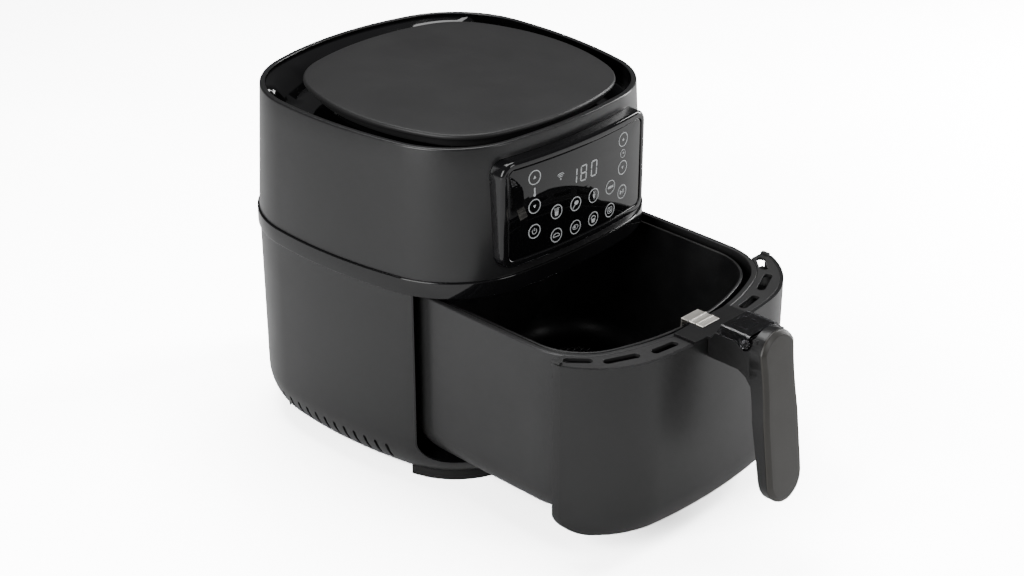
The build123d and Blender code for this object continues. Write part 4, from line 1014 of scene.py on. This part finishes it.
@dataclass
class TouchPanel:
    """Raised gloss bezel, touch glass and the lit print on it, all on one upright cylinder."""

    finishes: Finishes
    half_width: float = 0.0898
    half_height: float = 0.0483
    middle_z: float = 0.2635
    corner: float = 0.013
    proud: float = 0.0045
    rim: float = 0.007
    depth: float = 0.014
    sunk: float = 0.0008
    glass_thick: float = 0.003
    ink_top: float = 0.00009
    ink_base: float = -0.00012
    line: float = 0.0008
    key_ring: float = 0.0062

    def on_face(self, across: Array, height: Array, raised: Array | float) -> Array:
        """Points on the panel's cylinder: Y is its axis less the root of radius squared less X squared."""
        radius = HOUSING.front_radius + self.proud + raised
        return np.stack(
            [across, FRONT_CENTRE - np.sqrt(radius**2 - across**2), height + 0.0 * across], axis=-1
        )

    def rings(self, insets: Array, raises: Array) -> Array:
        """Loops of one point count at several insets, each a rounded box whose corner shrinks to match."""
        grid = []
        for inset, raised in zip(insets, raises):
            corner = max(self.corner - inset, 0.0055)
            half_x, half_z = self.half_width - inset, self.half_height - inset
            turn = np.linspace(0.0, np.pi / 2, 11)
            arc = corner * np.stack([np.cos(turn), np.sin(turn)], axis=-1)
            upper = arc + np.array([half_x - corner, half_z - corner])
            across = np.linspace(half_x - corner, -(half_x - corner), 40)[1:-1]
            top = np.stack([across, np.full(38, half_z)], axis=-1)
            climb = np.linspace(half_z - corner, -(half_z - corner), 16)[1:-1]
            left = np.stack([np.full(14, -half_x), climb], axis=-1)
            loop = np.concatenate([upper, top, upper[::-1] * [-1, 1], left])
            loop = np.concatenate([loop, -loop])
            grid.append(self.on_face(loop[:, 0], loop[:, 1] + self.middle_z, raised))
        return np.array(grid)

    def bezel(self) -> bpy.types.Object:
        """Frame with a soft outer shoulder, a nearly flat rim and a small inner edge."""
        section = rounded(
            [(0.0, -self.depth), (0.0, 0.0), (self.rim, 0.0), (self.rim, -self.depth)],
            [0.0, 0.003, 0.0014, 0.0],
            steps=8,
        )
        grid = self.rings(section[:, 0], section[:, 1])
        piece = Surface().add_loop_grid(grid).piece("panel_bezel_frame")
        return self.finishes.dress(piece, "housing", "gloss_black", "panel_bezel")

    def glass(self) -> bpy.types.Object:
        """Touch glass: a bent plate with a ground edge."""
        gap, edge, back_raise = self.rim + 0.0002, 0.0005, -self.sunk - self.glass_thick
        section = rounded(
            [(0.03, back_raise), (gap, back_raise), (gap, -self.sunk), (0.03, -self.sunk)],
            [0.0, edge, edge, 0.0],
            closed=False,
            steps=4,
        )
        grid = self.rings(section[:, 0], section[:, 1])
        shares = np.array([0.85, 0.7, 0.55, 0.4, 0.25, 0.1])
        middle = np.array([0.0, self.middle_z])

        def inner(loop: Array, raised: float) -> Array:
            flat = middle + shares[:, None, None] * (loop[:, [0, 2]] - middle)
            return self.on_face(flat[..., 0], flat[..., 1], raised)

        back, front = inner(grid[0], back_raise)[::-1], inner(grid[-1], -self.sunk)
        whole = np.concatenate([back, grid, front])
        poles = [
            self.on_face(np.array(0.0), np.array(self.middle_z), raised)
            for raised in (back_raise, -self.sunk)
        ]
        piece = Surface().add_capped(whole, *poles).piece("touch_glass_plate")
        return self.finishes.dress(piece, "housing", "touch_glass", "touch_glass")

    def stroke(self, surface: Surface, path: Array, width: float, closed: bool = False) -> None:
        """Add one printed line: a flat bar whose long edges are the path moved sideways by half its width."""
        step = np.roll(path, -1, axis=0) - np.roll(path, 1, axis=0) if closed else np.gradient(path, axis=0)
        along = step / np.linalg.norm(step, axis=1, keepdims=True)
        aside = np.stack([-along[:, 1], along[:, 0]], axis=-1) * width / 2
        edges = [path + aside, path - aside, path - aside, path + aside]
        raises = (self.ink_top, self.ink_top, self.ink_base, self.ink_base)
        grid = np.array([self.on_face(e[:, 0], e[:, 1], r - self.sunk) for e, r in zip(edges, raises)])
        surface.add_bar(grid, closed)

    def spot(self, surface: Surface, outline: Array) -> None:
        """Add one filled printed shape."""
        raises = (self.ink_base - self.sunk, self.ink_top - self.sunk)
        middle = outline.mean(axis=0)
        grid = np.array([self.on_face(outline[:, 0], outline[:, 1], raised) for raised in raises])
        surface.add_capped(grid, *[self.on_face(*middle, raised) for raised in raises])

    def circle(
        self,
        centre: tuple[float, float],
        radius: float,
        squash: float = 1.0,
        start: float = 0.0,
        turn: float = 360.0,
    ) -> Array:
        """Points of a circle, an ellipse or part of one, from a start angle in degrees."""
        whole = abs(turn) >= 360.0
        angles = np.radians(start + turn * np.linspace(0, 1, 33 if whole else 17)[: 32 if whole else 17])
        return np.asarray(centre) + radius * np.stack([np.cos(angles), squash * np.sin(angles)], axis=-1)

    def glyph(self, surface: Surface, kind: "Glyph", centre: tuple[float, float], size: float) -> None:
        """Draw one generic sign inside a key."""
        x, z = centre
        thin = 0.7 * self.line

        def at(points: list[tuple[float, float]]) -> Array:
            return np.array([(x + size * a, z + size * b) for a, b in points])

        def place(a: float, b: float) -> tuple[float, float]:
            return (x + size * a, z + size * b)

        match kind:
            case Glyph.UP:
                self.spot(surface, at([(-0.62, -0.42), (0.62, -0.42), (0.0, 0.6)]))
            case Glyph.DOWN:
                self.spot(surface, at([(-0.62, 0.42), (0.0, -0.6), (0.62, 0.42)]))
            case Glyph.POWER:
                self.stroke(surface, self.circle(centre, 0.78 * size, start=125, turn=290), thin)
                self.stroke(surface, at([(0, 0.1), (0, 0.55), (0, 1.0)]), thin)
            case Glyph.PLAY:
                self.spot(surface, at([(-0.85, -0.6), (-0.02, 0.0), (-0.85, 0.6)]))
                self.stroke(surface, at([(0.28, -0.55), (0.28, 0.0), (0.28, 0.55)]), thin)
                self.stroke(surface, at([(0.68, -0.55), (0.68, 0.0), (0.68, 0.55)]), thin)
            case Glyph.CLOCK:
                self.stroke(surface, self.circle(centre, size), thin, True)
                self.stroke(surface, at([(0, 0.6), (0, 0.3), (0, 0.0)]), thin)
                self.stroke(surface, at([(0, 0), (0.25, 0), (0.5, 0)]), thin)
            case Glyph.THERMOMETER:
                self.spot(surface, self.circle(place(0, -0.8), 0.42 * size))
                self.stroke(surface, at([(0, -0.7), (0, 0.2), (0, 1.1)]), 0.42 * size)
            case Glyph.WAVES:
                self.spot(surface, self.circle(place(0, -0.7), 0.2 * size))
                for reach in (0.62, 1.05, 1.48):
                    self.stroke(
                        surface, self.circle(place(0, -0.7), reach * size, start=45, turn=90), 1.2 * thin
                    )
            case Glyph.CHIPS:
                for lean in (-0.5, -0.17, 0.17, 0.5):
                    self.stroke(
                        surface, at([(0.6 * lean, -0.2), (0.85 * lean, 0.3), (1.1 * lean, 0.85)]), thin
                    )
                self.spot(surface, at([(-0.5, 0.0), (-0.36, -0.85), (0.36, -0.85), (0.5, 0.0)]))
            case Glyph.DRUMSTICK:
                self.spot(surface, self.circle(place(0.2, 0.2), 0.55 * size, 0.8))
                self.stroke(surface, at([(-0.1, -0.1), (-0.45, -0.45), (-0.8, -0.8)]), 1.6 * thin)
            case Glyph.FISH:
                self.spot(surface, self.circle(place(-0.12, 0), 0.68 * size, 0.45))
                self.spot(surface, at([(0.4, 0.0), (0.9, -0.42), (0.9, 0.42)]))
            case Glyph.CUTLET:
                self.stroke(surface, self.circle(centre, 0.75 * size, 0.6), thin, True)
                self.spot(surface, self.circle(place(-0.25, 0.05), 0.26 * size))
            case Glyph.CUPCAKE:
                self.stroke(surface, self.circle(place(0, 0.1), 0.65 * size, 0.8, 0, 180), 1.3 * thin)
                self.spot(surface, at([(-0.6, 0.0), (-0.4, -0.8), (0.4, -0.8), (0.6, 0.0)]))
            case Glyph.CARROT:
                self.spot(surface, at([(-0.3, 0.35), (0.1, -0.95), (0.45, 0.3)]))
                self.stroke(surface, at([(0.08, 0.4), (0.0, 0.7), (-0.1, 0.95)]), thin)
                self.stroke(surface, at([(0.12, 0.4), (0.3, 0.65), (0.45, 0.85)]), thin)
            case Glyph.LOAF:
                self.stroke(surface, self.circle(place(0, -0.25), 0.85 * size, 0.75, 0, 180), 1.3 * thin)
                self.stroke(surface, at([(-0.85, -0.3), (0.0, -0.3), (0.85, -0.3)]), 1.3 * thin)
            case Glyph.TRAY:
                dish = rounded_box(0.66 * size, 0.62 * size, 0.2 * size, 4) + np.array(centre)
                self.stroke(surface, resample(dish, 0.001), thin, True)
                self.stroke(surface, self.circle(centre, 0.34 * size, 0.7), thin, True)

    def digit(self, surface: Surface, centre: tuple[float, float], segments: str) -> None:
        """Add one seven-part digit; a is the top bar and the letters go on clockwise, g is the middle one."""
        width, height, lean = 0.0033, 0.0068, 0.05
        ends = {
            "a": ((-1, 1), (1, 1)), "b": ((1, 1), (1, 0)), "c": ((1, 0), (1, -1)), "d": ((-1, -1), (1, -1)),
            "e": ((-1, -1), (-1, 0)), "f": ((-1, 0), (-1, 1)), "g": ((-1, 0), (1, 0)),
        }
        for name in segments:
            corners = np.array(ends[name], float)
            middle = corners.mean(axis=0)
            corners = (middle + 0.86 * (corners - middle)) * np.array([width, height])
            corners[:, 0] += lean * corners[:, 1]
            share = np.linspace(0, 1, 4)[:, None]
            self.stroke(surface, np.array(centre) + corners[0] + share * (corners[1] - corners[0]), 0.0013)

    def print(self) -> bpy.types.Object:
        """All the lit signs as one piece: keys with rings, the temperature and the small marks."""
        surface = Surface()
        left, right = -0.0554, 0.0558
        keys = [
            (Glyph.UP, (left, 0.2926), 0.0026), (Glyph.DOWN, (left, 0.2662), 0.0026),
            (Glyph.POWER, (left, 0.243), 0.0031),
            (Glyph.UP, (right, 0.2926), 0.0026), (Glyph.DOWN, (right, 0.2662), 0.0026),
            (Glyph.PLAY, (right, 0.243), 0.0036),
        ]
        upper = (Glyph.CHIPS, Glyph.DRUMSTICK, Glyph.CARROT, Glyph.FISH)
        lower = (Glyph.LOAF, Glyph.CUTLET, Glyph.CUPCAKE, Glyph.TRAY)
        for row, height in ((upper, 0.2535), (lower, 0.2315)):
            keys += [(kind, (-0.0305 + 0.023 * index, height), 0.0044) for index, kind in enumerate(row)]
        for kind, centre, size in keys:
            self.stroke(surface, self.circle(centre, self.key_ring), self.line, True)
            self.glyph(surface, kind, centre, size)
        self.glyph(surface, Glyph.THERMOMETER, (left, 0.2794), 0.0034)
        self.glyph(surface, Glyph.CLOCK, (right, 0.2794), 0.0036)
        self.glyph(surface, Glyph.WAVES, (-0.0262, 0.285), 0.0036)
        for place, segments in ((-0.0102, "bc"), (0.0018, "abcdefg"), (0.0152, "abcdef")):
            self.digit(surface, (place, 0.2795), segments)
        piece = surface.piece("panel_print")
        return self.finishes.dress(piece, "housing", "print")


class Glyph(Enum):
    """The generic signs on the touch panel."""

    UP = "up"
    DOWN = "down"
    POWER = "power"
    PLAY = "play and pause"
    CLOCK = "clock"
    THERMOMETER = "thermometer"
    WAVES = "radio waves"
    CHIPS = "chips"
    DRUMSTICK = "drumstick"
    FISH = "fish"
    CUTLET = "cutlet"
    CUPCAKE = "cupcake"
    CARROT = "carrot"
    LOAF = "loaf"
    TRAY = "tray"


# ==== drawer =====================================================================================


@dataclass
class Drawer:
    """Pan, basket, its wire floor, the drawer front and the rim plate."""

    finishes: Finishes
    shells: HousingShells
    rim_z: float = 0.1877
    pan_low: float = 0.0285
    pan_curl: float = 0.028
    pan_wall: float = 0.0016
    pan_flange: float = 0.005
    basket_low: float = 0.046
    basket_top: float = 0.184
    basket_curl: float = 0.024
    basket_wall: float = 0.0012
    bead: float = 0.0015
    floor_inset: float = 0.026
    panel_gap: float = 0.0023
    panel_thick: float = 0.003
    wire_pitch: float = 0.0047
    wire: float = 0.0007
    web_half: float = 0.1366
    web_back: float = 0.111
    web_inset: float = 0.0052
    web_z: tuple[float, float] = (0.174, 0.1752)

    def pan(self) -> bpy.types.Object:
        """Deep pan: flat floor, round lower edge, upright wall and a rolled flange."""
        far, low, wall = 0.05, self.pan_low, self.pan_wall
        section = rounded(
            [
                (far, low), (0.0, low), (0.0, self.rim_z), (self.pan_flange, self.rim_z),
                (self.pan_flange, self.rim_z - 0.002), (wall, self.rim_z - 0.002), (wall, low + wall),
                (far, low + wall),
            ],
            [0.0, self.pan_curl, 0.0012, 0.0009, 0.0006, 0.0003, self.pan_curl - wall, 0.0],
            closed=False,
            steps=10,
        )
        grid = PAN.loops(resample(section, 0.012, closed=False))
        middle = PAN.line_y + (PAN.back - PAN.front) / 2
        piece = Surface().add_capped(
            grid, np.array([0, middle, low]), np.array([0, middle, low + wall])
        ).piece("pan_body")
        return self.finishes.dress(piece, "drawer", "pan", "pan")

    def basket(self) -> bpy.types.Object:
        """Basket wall with a rolled bead along its edge and an open floor."""
        wall, low, top, bead = self.basket_wall, self.basket_low, self.basket_top, self.bead
        section = rounded(
            [
                (self.floor_inset, low), (0.0, low), (0.0, top - 2 * bead), (-bead, top - 2 * bead),
                (-bead, top),
                (wall, top), (wall, low + wall), (self.floor_inset, low + wall),
            ],
            [0.0, self.basket_curl, 0.0004, 0.0014, 0.0014, 0.0008, self.basket_curl - wall, 0.0],
            steps=9,
        )
        piece = Surface().add_loop_grid(BASKET.loops(resample(section, 0.012))).piece("basket_wall")
        return self.finishes.dress(piece, "drawer", "coating", "basket")

    def wires(self) -> bpy.types.Object:
        """Woven floor: wires both ways, each a square tube that waves over and under the others.

        A wire's height is the weave's amplitude times the cosine of the half turns it has passed.
        """
        edge = BASKET.ring(self.floor_inset - 0.0015)
        surface = Surface()
        height = self.basket_low + self.basket_wall / 2
        corners = np.array([(-1, 0), (0, 1), (1, 0), (0, -1)]) * self.wire
        for axis in (0, 1):
            spread = edge[:, 1 - axis]
            lines = np.arange(
                np.ceil(spread.min() / self.wire_pitch), np.floor(spread.max() / self.wire_pitch) + 1
            )
            for number in lines:
                place = number * self.wire_pitch
                level = edge[:, 1 - axis] - place
                crossing = np.nonzero(level * np.roll(level, -1) < 0)[0]
                if len(crossing) < 2:
                    continue
                share = level[crossing] / (level[crossing] - np.roll(level, -1)[crossing])
                ends = edge[crossing, axis] + share * (
                    np.roll(edge[:, axis], -1)[crossing] - edge[crossing, axis]
                )
                along = np.linspace(ends.min(), ends.max(), 2 * int(np.ptp(ends) / self.wire_pitch) + 3)
                wave = 0.8 * self.wire * np.cos(np.pi * (along / self.wire_pitch + number + axis))
                grid = np.zeros((4, len(along), 3))
                grid[..., axis] = along
                grid[..., 1 - axis] = place + corners[:, :1]
                grid[..., 2] = height + wave + corners[:, 1:]
                surface.add_bar(grid)
        piece = surface.piece("basket_floor_wires")
        return self.finishes.dress(piece, "drawer", "steel", "basket_mesh")

    def front(self) -> bpy.types.Object:
        """Drawer front: the part of the lower shell's surface inside the opening, less an even gap."""
        section = self.shells.curled_wall(self.panel_thick, self.rim_z)
        piece = Surface().add_loop_grid(OPEN_HOUSING.loops(section)).piece("drawer_front")
        carve(piece, self.shells.mouth(DRAWER_LINE, self.panel_gap), "INTERSECT")
        soften(piece, 0.0007, 2, 50.0)
        return self.finishes.dress(piece, "drawer", "drawer_front", "front_panel")

    def web(self) -> bpy.types.Object:
        """Black web under the rim plate, from the pan's front to the drawer front, both at the same X."""
        across = np.linspace(-self.web_half, self.web_half, 141)
        limit = DRAWER_LINE - self.web_back
        pan_front = np.where(np.abs(across) < PAN.half_width, PAN.front_face(across, -0.0002), limit)
        outer = OPEN_HOUSING.front_face(across, self.web_inset)
        inner = np.maximum(np.minimum(pan_front, limit), outer + 0.001)
        low, high = self.web_z
        corners = [(inner, high), (outer, high), (outer, low), (inner, low)]
        grid = np.array([np.stack([across, y, np.full_like(across, z)], axis=-1) for y, z in corners])
        piece = Surface().add_bar(grid).piece("rim_plate_web")
        return self.finishes.dress(piece, "drawer", "black_plastic")

    def rim_plate(self) -> bpy.types.Object:
        """Rim plate with its steam slots and end lugs."""
        piece = from_cad("rim_plate", "rim_plate_cover", 0.0005)
        return self.finishes.dress(piece, "drawer", "rim", "rim_plate")


@dataclass
class Handle:
    """Grip, bridge and saddle, the warm inlay, the clear cover and the button under it."""

    finishes: Finishes
    grip_top: float = 0.208
    grip_low: float = 0.0555
    grip_half: float = 0.0226
    grip_ahead: float = 0.2278
    lean: float = 7.7
    inlay_thick: float = 0.0037
    inlay_bevel: float = 0.0042
    cover_half: float = 0.02
    cover_wall: float = 0.002
    cover_top: float = 0.2045
    cover_leg: float = 0.1963
    cover_back: float = 0.187
    cover_front: float = 0.216
    hinge_ahead: float = 0.2115
    hinge_z: float = 0.1985
    ear: float = 0.006

    def outline(self, inset: float, count: int = 24) -> Array:
        """Grip seen from the front, set in: domed head, slight neck, straight flanks, round lower end.

        The head is part of a circle through three points, the neck a cosine dip, the end a half circle.
        """
        half = self.grip_half - inset
        shoulder, neck_end = self.grip_top - 0.015, self.grip_top - 0.077
        head = half - 0.0008
        rise = self.grip_top - inset - shoulder
        radius = (head**2 + rise**2) / (2 * rise)
        reach = np.arctan2(head, radius - rise)
        sweep = np.linspace(0.0, reach, count)
        dome = np.stack(
            [radius * np.sin(sweep), self.grip_top - inset - radius * (1 - np.cos(sweep))], axis=-1
        )
        share = np.linspace(0.0, 1.0, count)[1:]
        dip = 0.0016 * np.sin(np.pi * share) * (1 - 0.3 * share)
        flank = np.stack(
            [head + (half - head) * share - dip, shoulder + (neck_end - shoulder) * share], axis=-1
        )
        low = self.grip_low + self.grip_half
        straight = np.stack([np.full(12, half), np.linspace(neck_end, low, 13)[1:]], axis=-1)
        turn = np.linspace(0.0, np.pi / 2, count)[1:]
        end = np.stack([half * np.cos(turn), low - half * np.sin(turn)], axis=-1)
        right = np.concatenate([dome, flank, straight, end])
        left = right[-2:0:-1] * np.array([-1.0, 1.0])
        return np.concatenate([right, left])

    def front_at(self, height: Array) -> Array:
        """Y of the grip body's leaning front plane at these heights."""
        return DRAWER_LINE - self.grip_ahead - (self.grip_top - height) * np.tan(np.radians(self.lean))

    def inlay(self) -> bpy.types.Object:
        """Inlay: a plate with a broad flat bevel all round, seated on the grip."""
        thick, bevel = self.inlay_thick, self.inlay_bevel
        insets = np.array([0.0004, 0.0004, 0.0006, 0.0011, bevel - 0.0004, bevel, bevel + 0.0005])
        depths = np.array([0.0, 0.0009, 0.0014, 0.0017, thick - 0.00015, thick - 0.00003, thick])
        loops = []
        for inset, depth in zip(insets, depths):
            flat = self.outline(inset)
            loops.append(np.stack([flat[:, 0], self.front_at(flat[:, 1]) - depth, flat[:, 1]], axis=-1))
        grid = np.array(loops)
        middle = (self.grip_top + self.grip_low) / 2
        shrink = np.array([0.75, 0.5, 0.25])[:, None, None]
        centres = [
            np.array([0.0, float(self.front_at(np.array(middle))) - depth, middle])
            for depth in (0.0, thick)
        ]
        back = (centres[0] + shrink * (grid[0] - centres[0]))[::-1]
        front = centres[1] + shrink * (grid[-1] - centres[1])
        piece = Surface().add_capped(
            np.concatenate([back, grid, front]), *centres
        ).piece("grip_inlay_plate")
        return self.finishes.dress(piece, "drawer", "inlay", "grip_inlay")

    def body(self) -> bpy.types.Object:
        """Handle body with every edge rounded."""
        piece = from_cad("handle_body", "handle_shell", 0.0011, 3)
        return self.finishes.dress(piece, "drawer", "handle", "handle_body")

    def cover(self) -> bpy.types.Object:
        """Clear cover: a rounded channel whose legs reach down into ears round the hinge.

        A leg's lower edge is the leg line, or the lower side of the ear's circle where that is deeper.
        """
        ahead = np.concatenate(
            [np.linspace(self.cover_back, 0.2052, 10), np.linspace(0.2056, self.cover_front, 22)]
        )
        reach = np.clip(1 - ((ahead - self.hinge_ahead) / self.ear) ** 2, 0.0, 1.0)
        leg = np.minimum(self.cover_leg, self.hinge_z - self.ear * np.sqrt(reach) + (reach <= 0) * 0.01)
        half, wall, top = self.cover_half, self.cover_wall, self.cover_top
        loops = []
        for place, low in zip(ahead, leg):
            section = rounded(
                [
                    (-half, low), (-half, top), (half, top), (half, low),
                    (half - wall, low), (half - wall, top - wall), (-half + wall, top - wall),
                    (-half + wall, low),
                ],
                [0.0005, 0.0045, 0.0045, 0.0005, 0.0005, 0.0026, 0.0026, 0.0005],
                steps=6,
            )
            depth = np.full(len(section), DRAWER_LINE - place)
            loops.append(np.stack([section[:, 0], depth, section[:, 1]], axis=-1))
        grid = np.array(loops)
        surface = Surface().add(grid, quads(len(grid), grid.shape[1], False, True))
        count, total = grid.shape[1], grid.shape[0] * grid.shape[1]
        surface.faces += [list(range(count)), list(range(total - count, total))]
        surface.paints += [0, 0]
        piece = surface.piece("button_cover_clear")
        return self.finishes.dress(piece, "cover", "cover", "button_cover")

    def button(self) -> bpy.types.Object:
        """Release button with a rounded edge."""
        piece = from_cad("release_button", "release_button_cap", 0.0005)
        return self.finishes.dress(piece, "button", "gloss_black", "release_button")


@dataclass
class Clip:
    """Pale metal clip: a strip that hooks over the rim, with two pressed ribs across its top."""

    finishes: Finishes
    rib_places: tuple[float, float] = (0.30, 0.62)
    rib_height: float = 0.0007
    rib_half: float = 0.0016
    top_depth: float = 0.0008
    rib_cuts: int = 9

    def build(self) -> bpy.types.Object:
        """Strip with its top cut into narrow steps, raised by a cosine bump at each rib.

        A vertex on the upper face rises by rib_height times half of one plus the cosine of its distance
        from the rib's line, and by nothing beyond rib_half.
        """
        piece = from_cad("basket_clip", "basket_clip_strip", 0.0006, 3)
        across = [vertex.co.y for vertex in piece.data.vertices]
        top = max(vertex.co.z for vertex in piece.data.vertices)
        low, high = min(across), max(across)
        mesh = bmesh.new()
        mesh.from_mesh(piece.data)
        for share in self.rib_places:
            for step in np.linspace(-1.0, 1.0, self.rib_cuts):
                place = low + share * (high - low) + step * self.rib_half
                geometry = [*mesh.verts, *mesh.edges, *mesh.faces]
                bmesh.ops.bisect_plane(
                    mesh, geom=geometry, plane_co=(0.0, place, 0.0), plane_no=(0.0, 1.0, 0.0)
                )
        for vertex in mesh.verts:
            if vertex.co.z < top - self.top_depth:
                continue
            for share in self.rib_places:
                away = abs(vertex.co.y - low - share * (high - low)) / self.rib_half
                vertex.co.z += self.rib_height * 0.5 * (1.0 + np.cos(np.pi * min(away, 1.0)))
        mesh.to_mesh(piece.data)
        mesh.free()
        shade(piece)
        return self.finishes.dress(piece, "drawer", "clip", "basket_clip")


# ==== studio =====================================================================================


@dataclass
class Studio:
    """Pale floor, soft lights and the camera."""

    target: tuple[float, float, float] = (0.1015, 0.13826, 0.066)
    azimuth: float = -45.9
    elevation: float = 27.5
    distance: float = 1.9559
    lens: float = 69.58
    floor_gain: float = 12.0
    surroundings: Colour = (0.11, 0.11, 0.112)
    aim: tuple[float, float, float] = (0.0, 0.05, 0.15)
    lamps: tuple = (
        ("left_soft", (-1.9, -0.1, 1.0), (1.2, 1.4), 42.0),
        ("front_soft", (0.5, -2.2, 1.1), (0.7, 1.2), 12.0),
        ("top_soft", (0.3, 0.6, 2.2), (1.6, 1.2), 36.0),
        ("right_edge", (1.7, -0.5, 0.7), (0.35, 1.3), 30.0),
    )

    def floor(self) -> None:
        """Wide pale floor with a faint mottle, far brighter to the camera than to the object."""
        surface = Surface()
        angles = np.linspace(0, 2 * np.pi, 97)[:-1]
        ring = np.stack([np.cos(angles), np.sin(angles)], axis=-1)
        radii = np.array([0.5, 1.5, 5.0, 20.0])[:, None, None]
        grid = np.concatenate([radii * ring, np.zeros((4, 96, 1))], axis=-1)
        surface.add(
            np.concatenate([grid.reshape(-1, 3), np.zeros((1, 3))]), quads(4, len(ring), False, True)
        )
        surface.faces += fan(np.arange(96), 4 * 96).tolist()
        surface.paints += [0] * 96
        floor = surface.piece("floor")
        nodes = Nodes("floor_pale")
        pale = nodes.colours(nodes.noise(3.0), (0.8, 0.8, 0.8), (0.84, 0.84, 0.84))
        matt = nodes.tree.nodes.new("ShaderNodeBsdfDiffuse")
        path = nodes.tree.nodes.new("ShaderNodeLightPath")
        gain = nodes.tree.nodes.new("ShaderNodeMapRange")
        gain.inputs["To Min"].default_value, gain.inputs["To Max"].default_value = 1.0, self.floor_gain
        brighter = nodes.tree.nodes.new("ShaderNodeVectorMath")
        brighter.operation = "SCALE"
        nodes.link(path.outputs["Is Camera Ray"], gain.inputs["Value"])
        nodes.link(pale, brighter.inputs[0])
        nodes.link(gain.outputs["Result"], brighter.inputs["Scale"])
        nodes.link(brighter.outputs[0], matt.inputs["Color"])
        output = nodes.tree.nodes["Material Output"]
        nodes.link(matt.outputs[0], output.inputs["Surface"])
        floor.data.materials.append(nodes.material)

    def world(self) -> None:
        """Even grey surroundings."""
        world = bpy.data.worlds.new("studio")
        world.use_nodes = True
        world.node_tree.nodes["Background"].inputs["Color"].default_value = (*self.surroundings, 1.0)
        bpy.context.scene.world = world

    def lamp(
        self, name: str, place: tuple[float, float, float], size: tuple[float, float], power: float
    ) -> None:
        """Soft rectangular light at a place, turned towards the middle of the fryer."""
        light = bpy.data.lights.new(name, "AREA")
        light.shape, light.size, light.size_y, light.energy = "RECTANGLE", *size, power
        lamp = bpy.data.objects.new(name, light)
        lamp.location = place
        lamp.rotation_euler = (Vector(self.aim) - Vector(place)).to_track_quat("-Z", "Y").to_euler()
        bpy.context.scene.collection.objects.link(lamp)

    def camera(self) -> None:
        """Camera on a line from the target at the given angles."""
        azimuth, elevation = np.radians(self.azimuth), np.radians(self.elevation)
        back = Vector(
            (np.sin(azimuth) * np.cos(elevation), -np.cos(azimuth) * np.cos(elevation), np.sin(elevation))
        )
        data = bpy.data.cameras.new("camera")
        data.lens, data.sensor_width = self.lens, 36.0
        camera = bpy.data.objects.new("camera", data)
        camera.location = Vector(self.target) + self.distance * back
        camera.rotation_euler = (-back).to_track_quat("-Z", "Y").to_euler()
        bpy.context.scene.collection.objects.link(camera)
        bpy.context.scene.camera = camera

    def build(self) -> None:
        """Set up everything."""
        self.floor()
        self.world()
        self.camera()
        for name, place, size, power in self.lamps:
            self.lamp(name, place, size, power)


def main() -> None:
    """Build the fryer piece by piece and report each one."""
    logging.basicConfig(level=logging.INFO, format="%(name)s: %(message)s")
    finishes = Finishes()
    finishes.dress_frame()
    shells = HousingShells(finishes)
    top = Top(finishes)
    panel = TouchPanel(finishes)
    drawer = Drawer(finishes, shells)
    handle = Handle(finishes)
    steps = [
        shells.lower, shells.upper, shells.band, top.channel, top.lid, Mouth(finishes).build,
        panel.bezel, panel.glass, panel.print,
        drawer.pan, drawer.basket, drawer.wires, drawer.front, drawer.rim_plate, drawer.web,
        handle.inlay, handle.body, handle.cover, handle.button, Clip(finishes).build,
    ]
    for step in steps:
        piece = step()
        LOG.info("%s: %d faces", piece.name, len(piece.data.polygons))
    Studio().build()


if __name__ == "__main__":
    main()
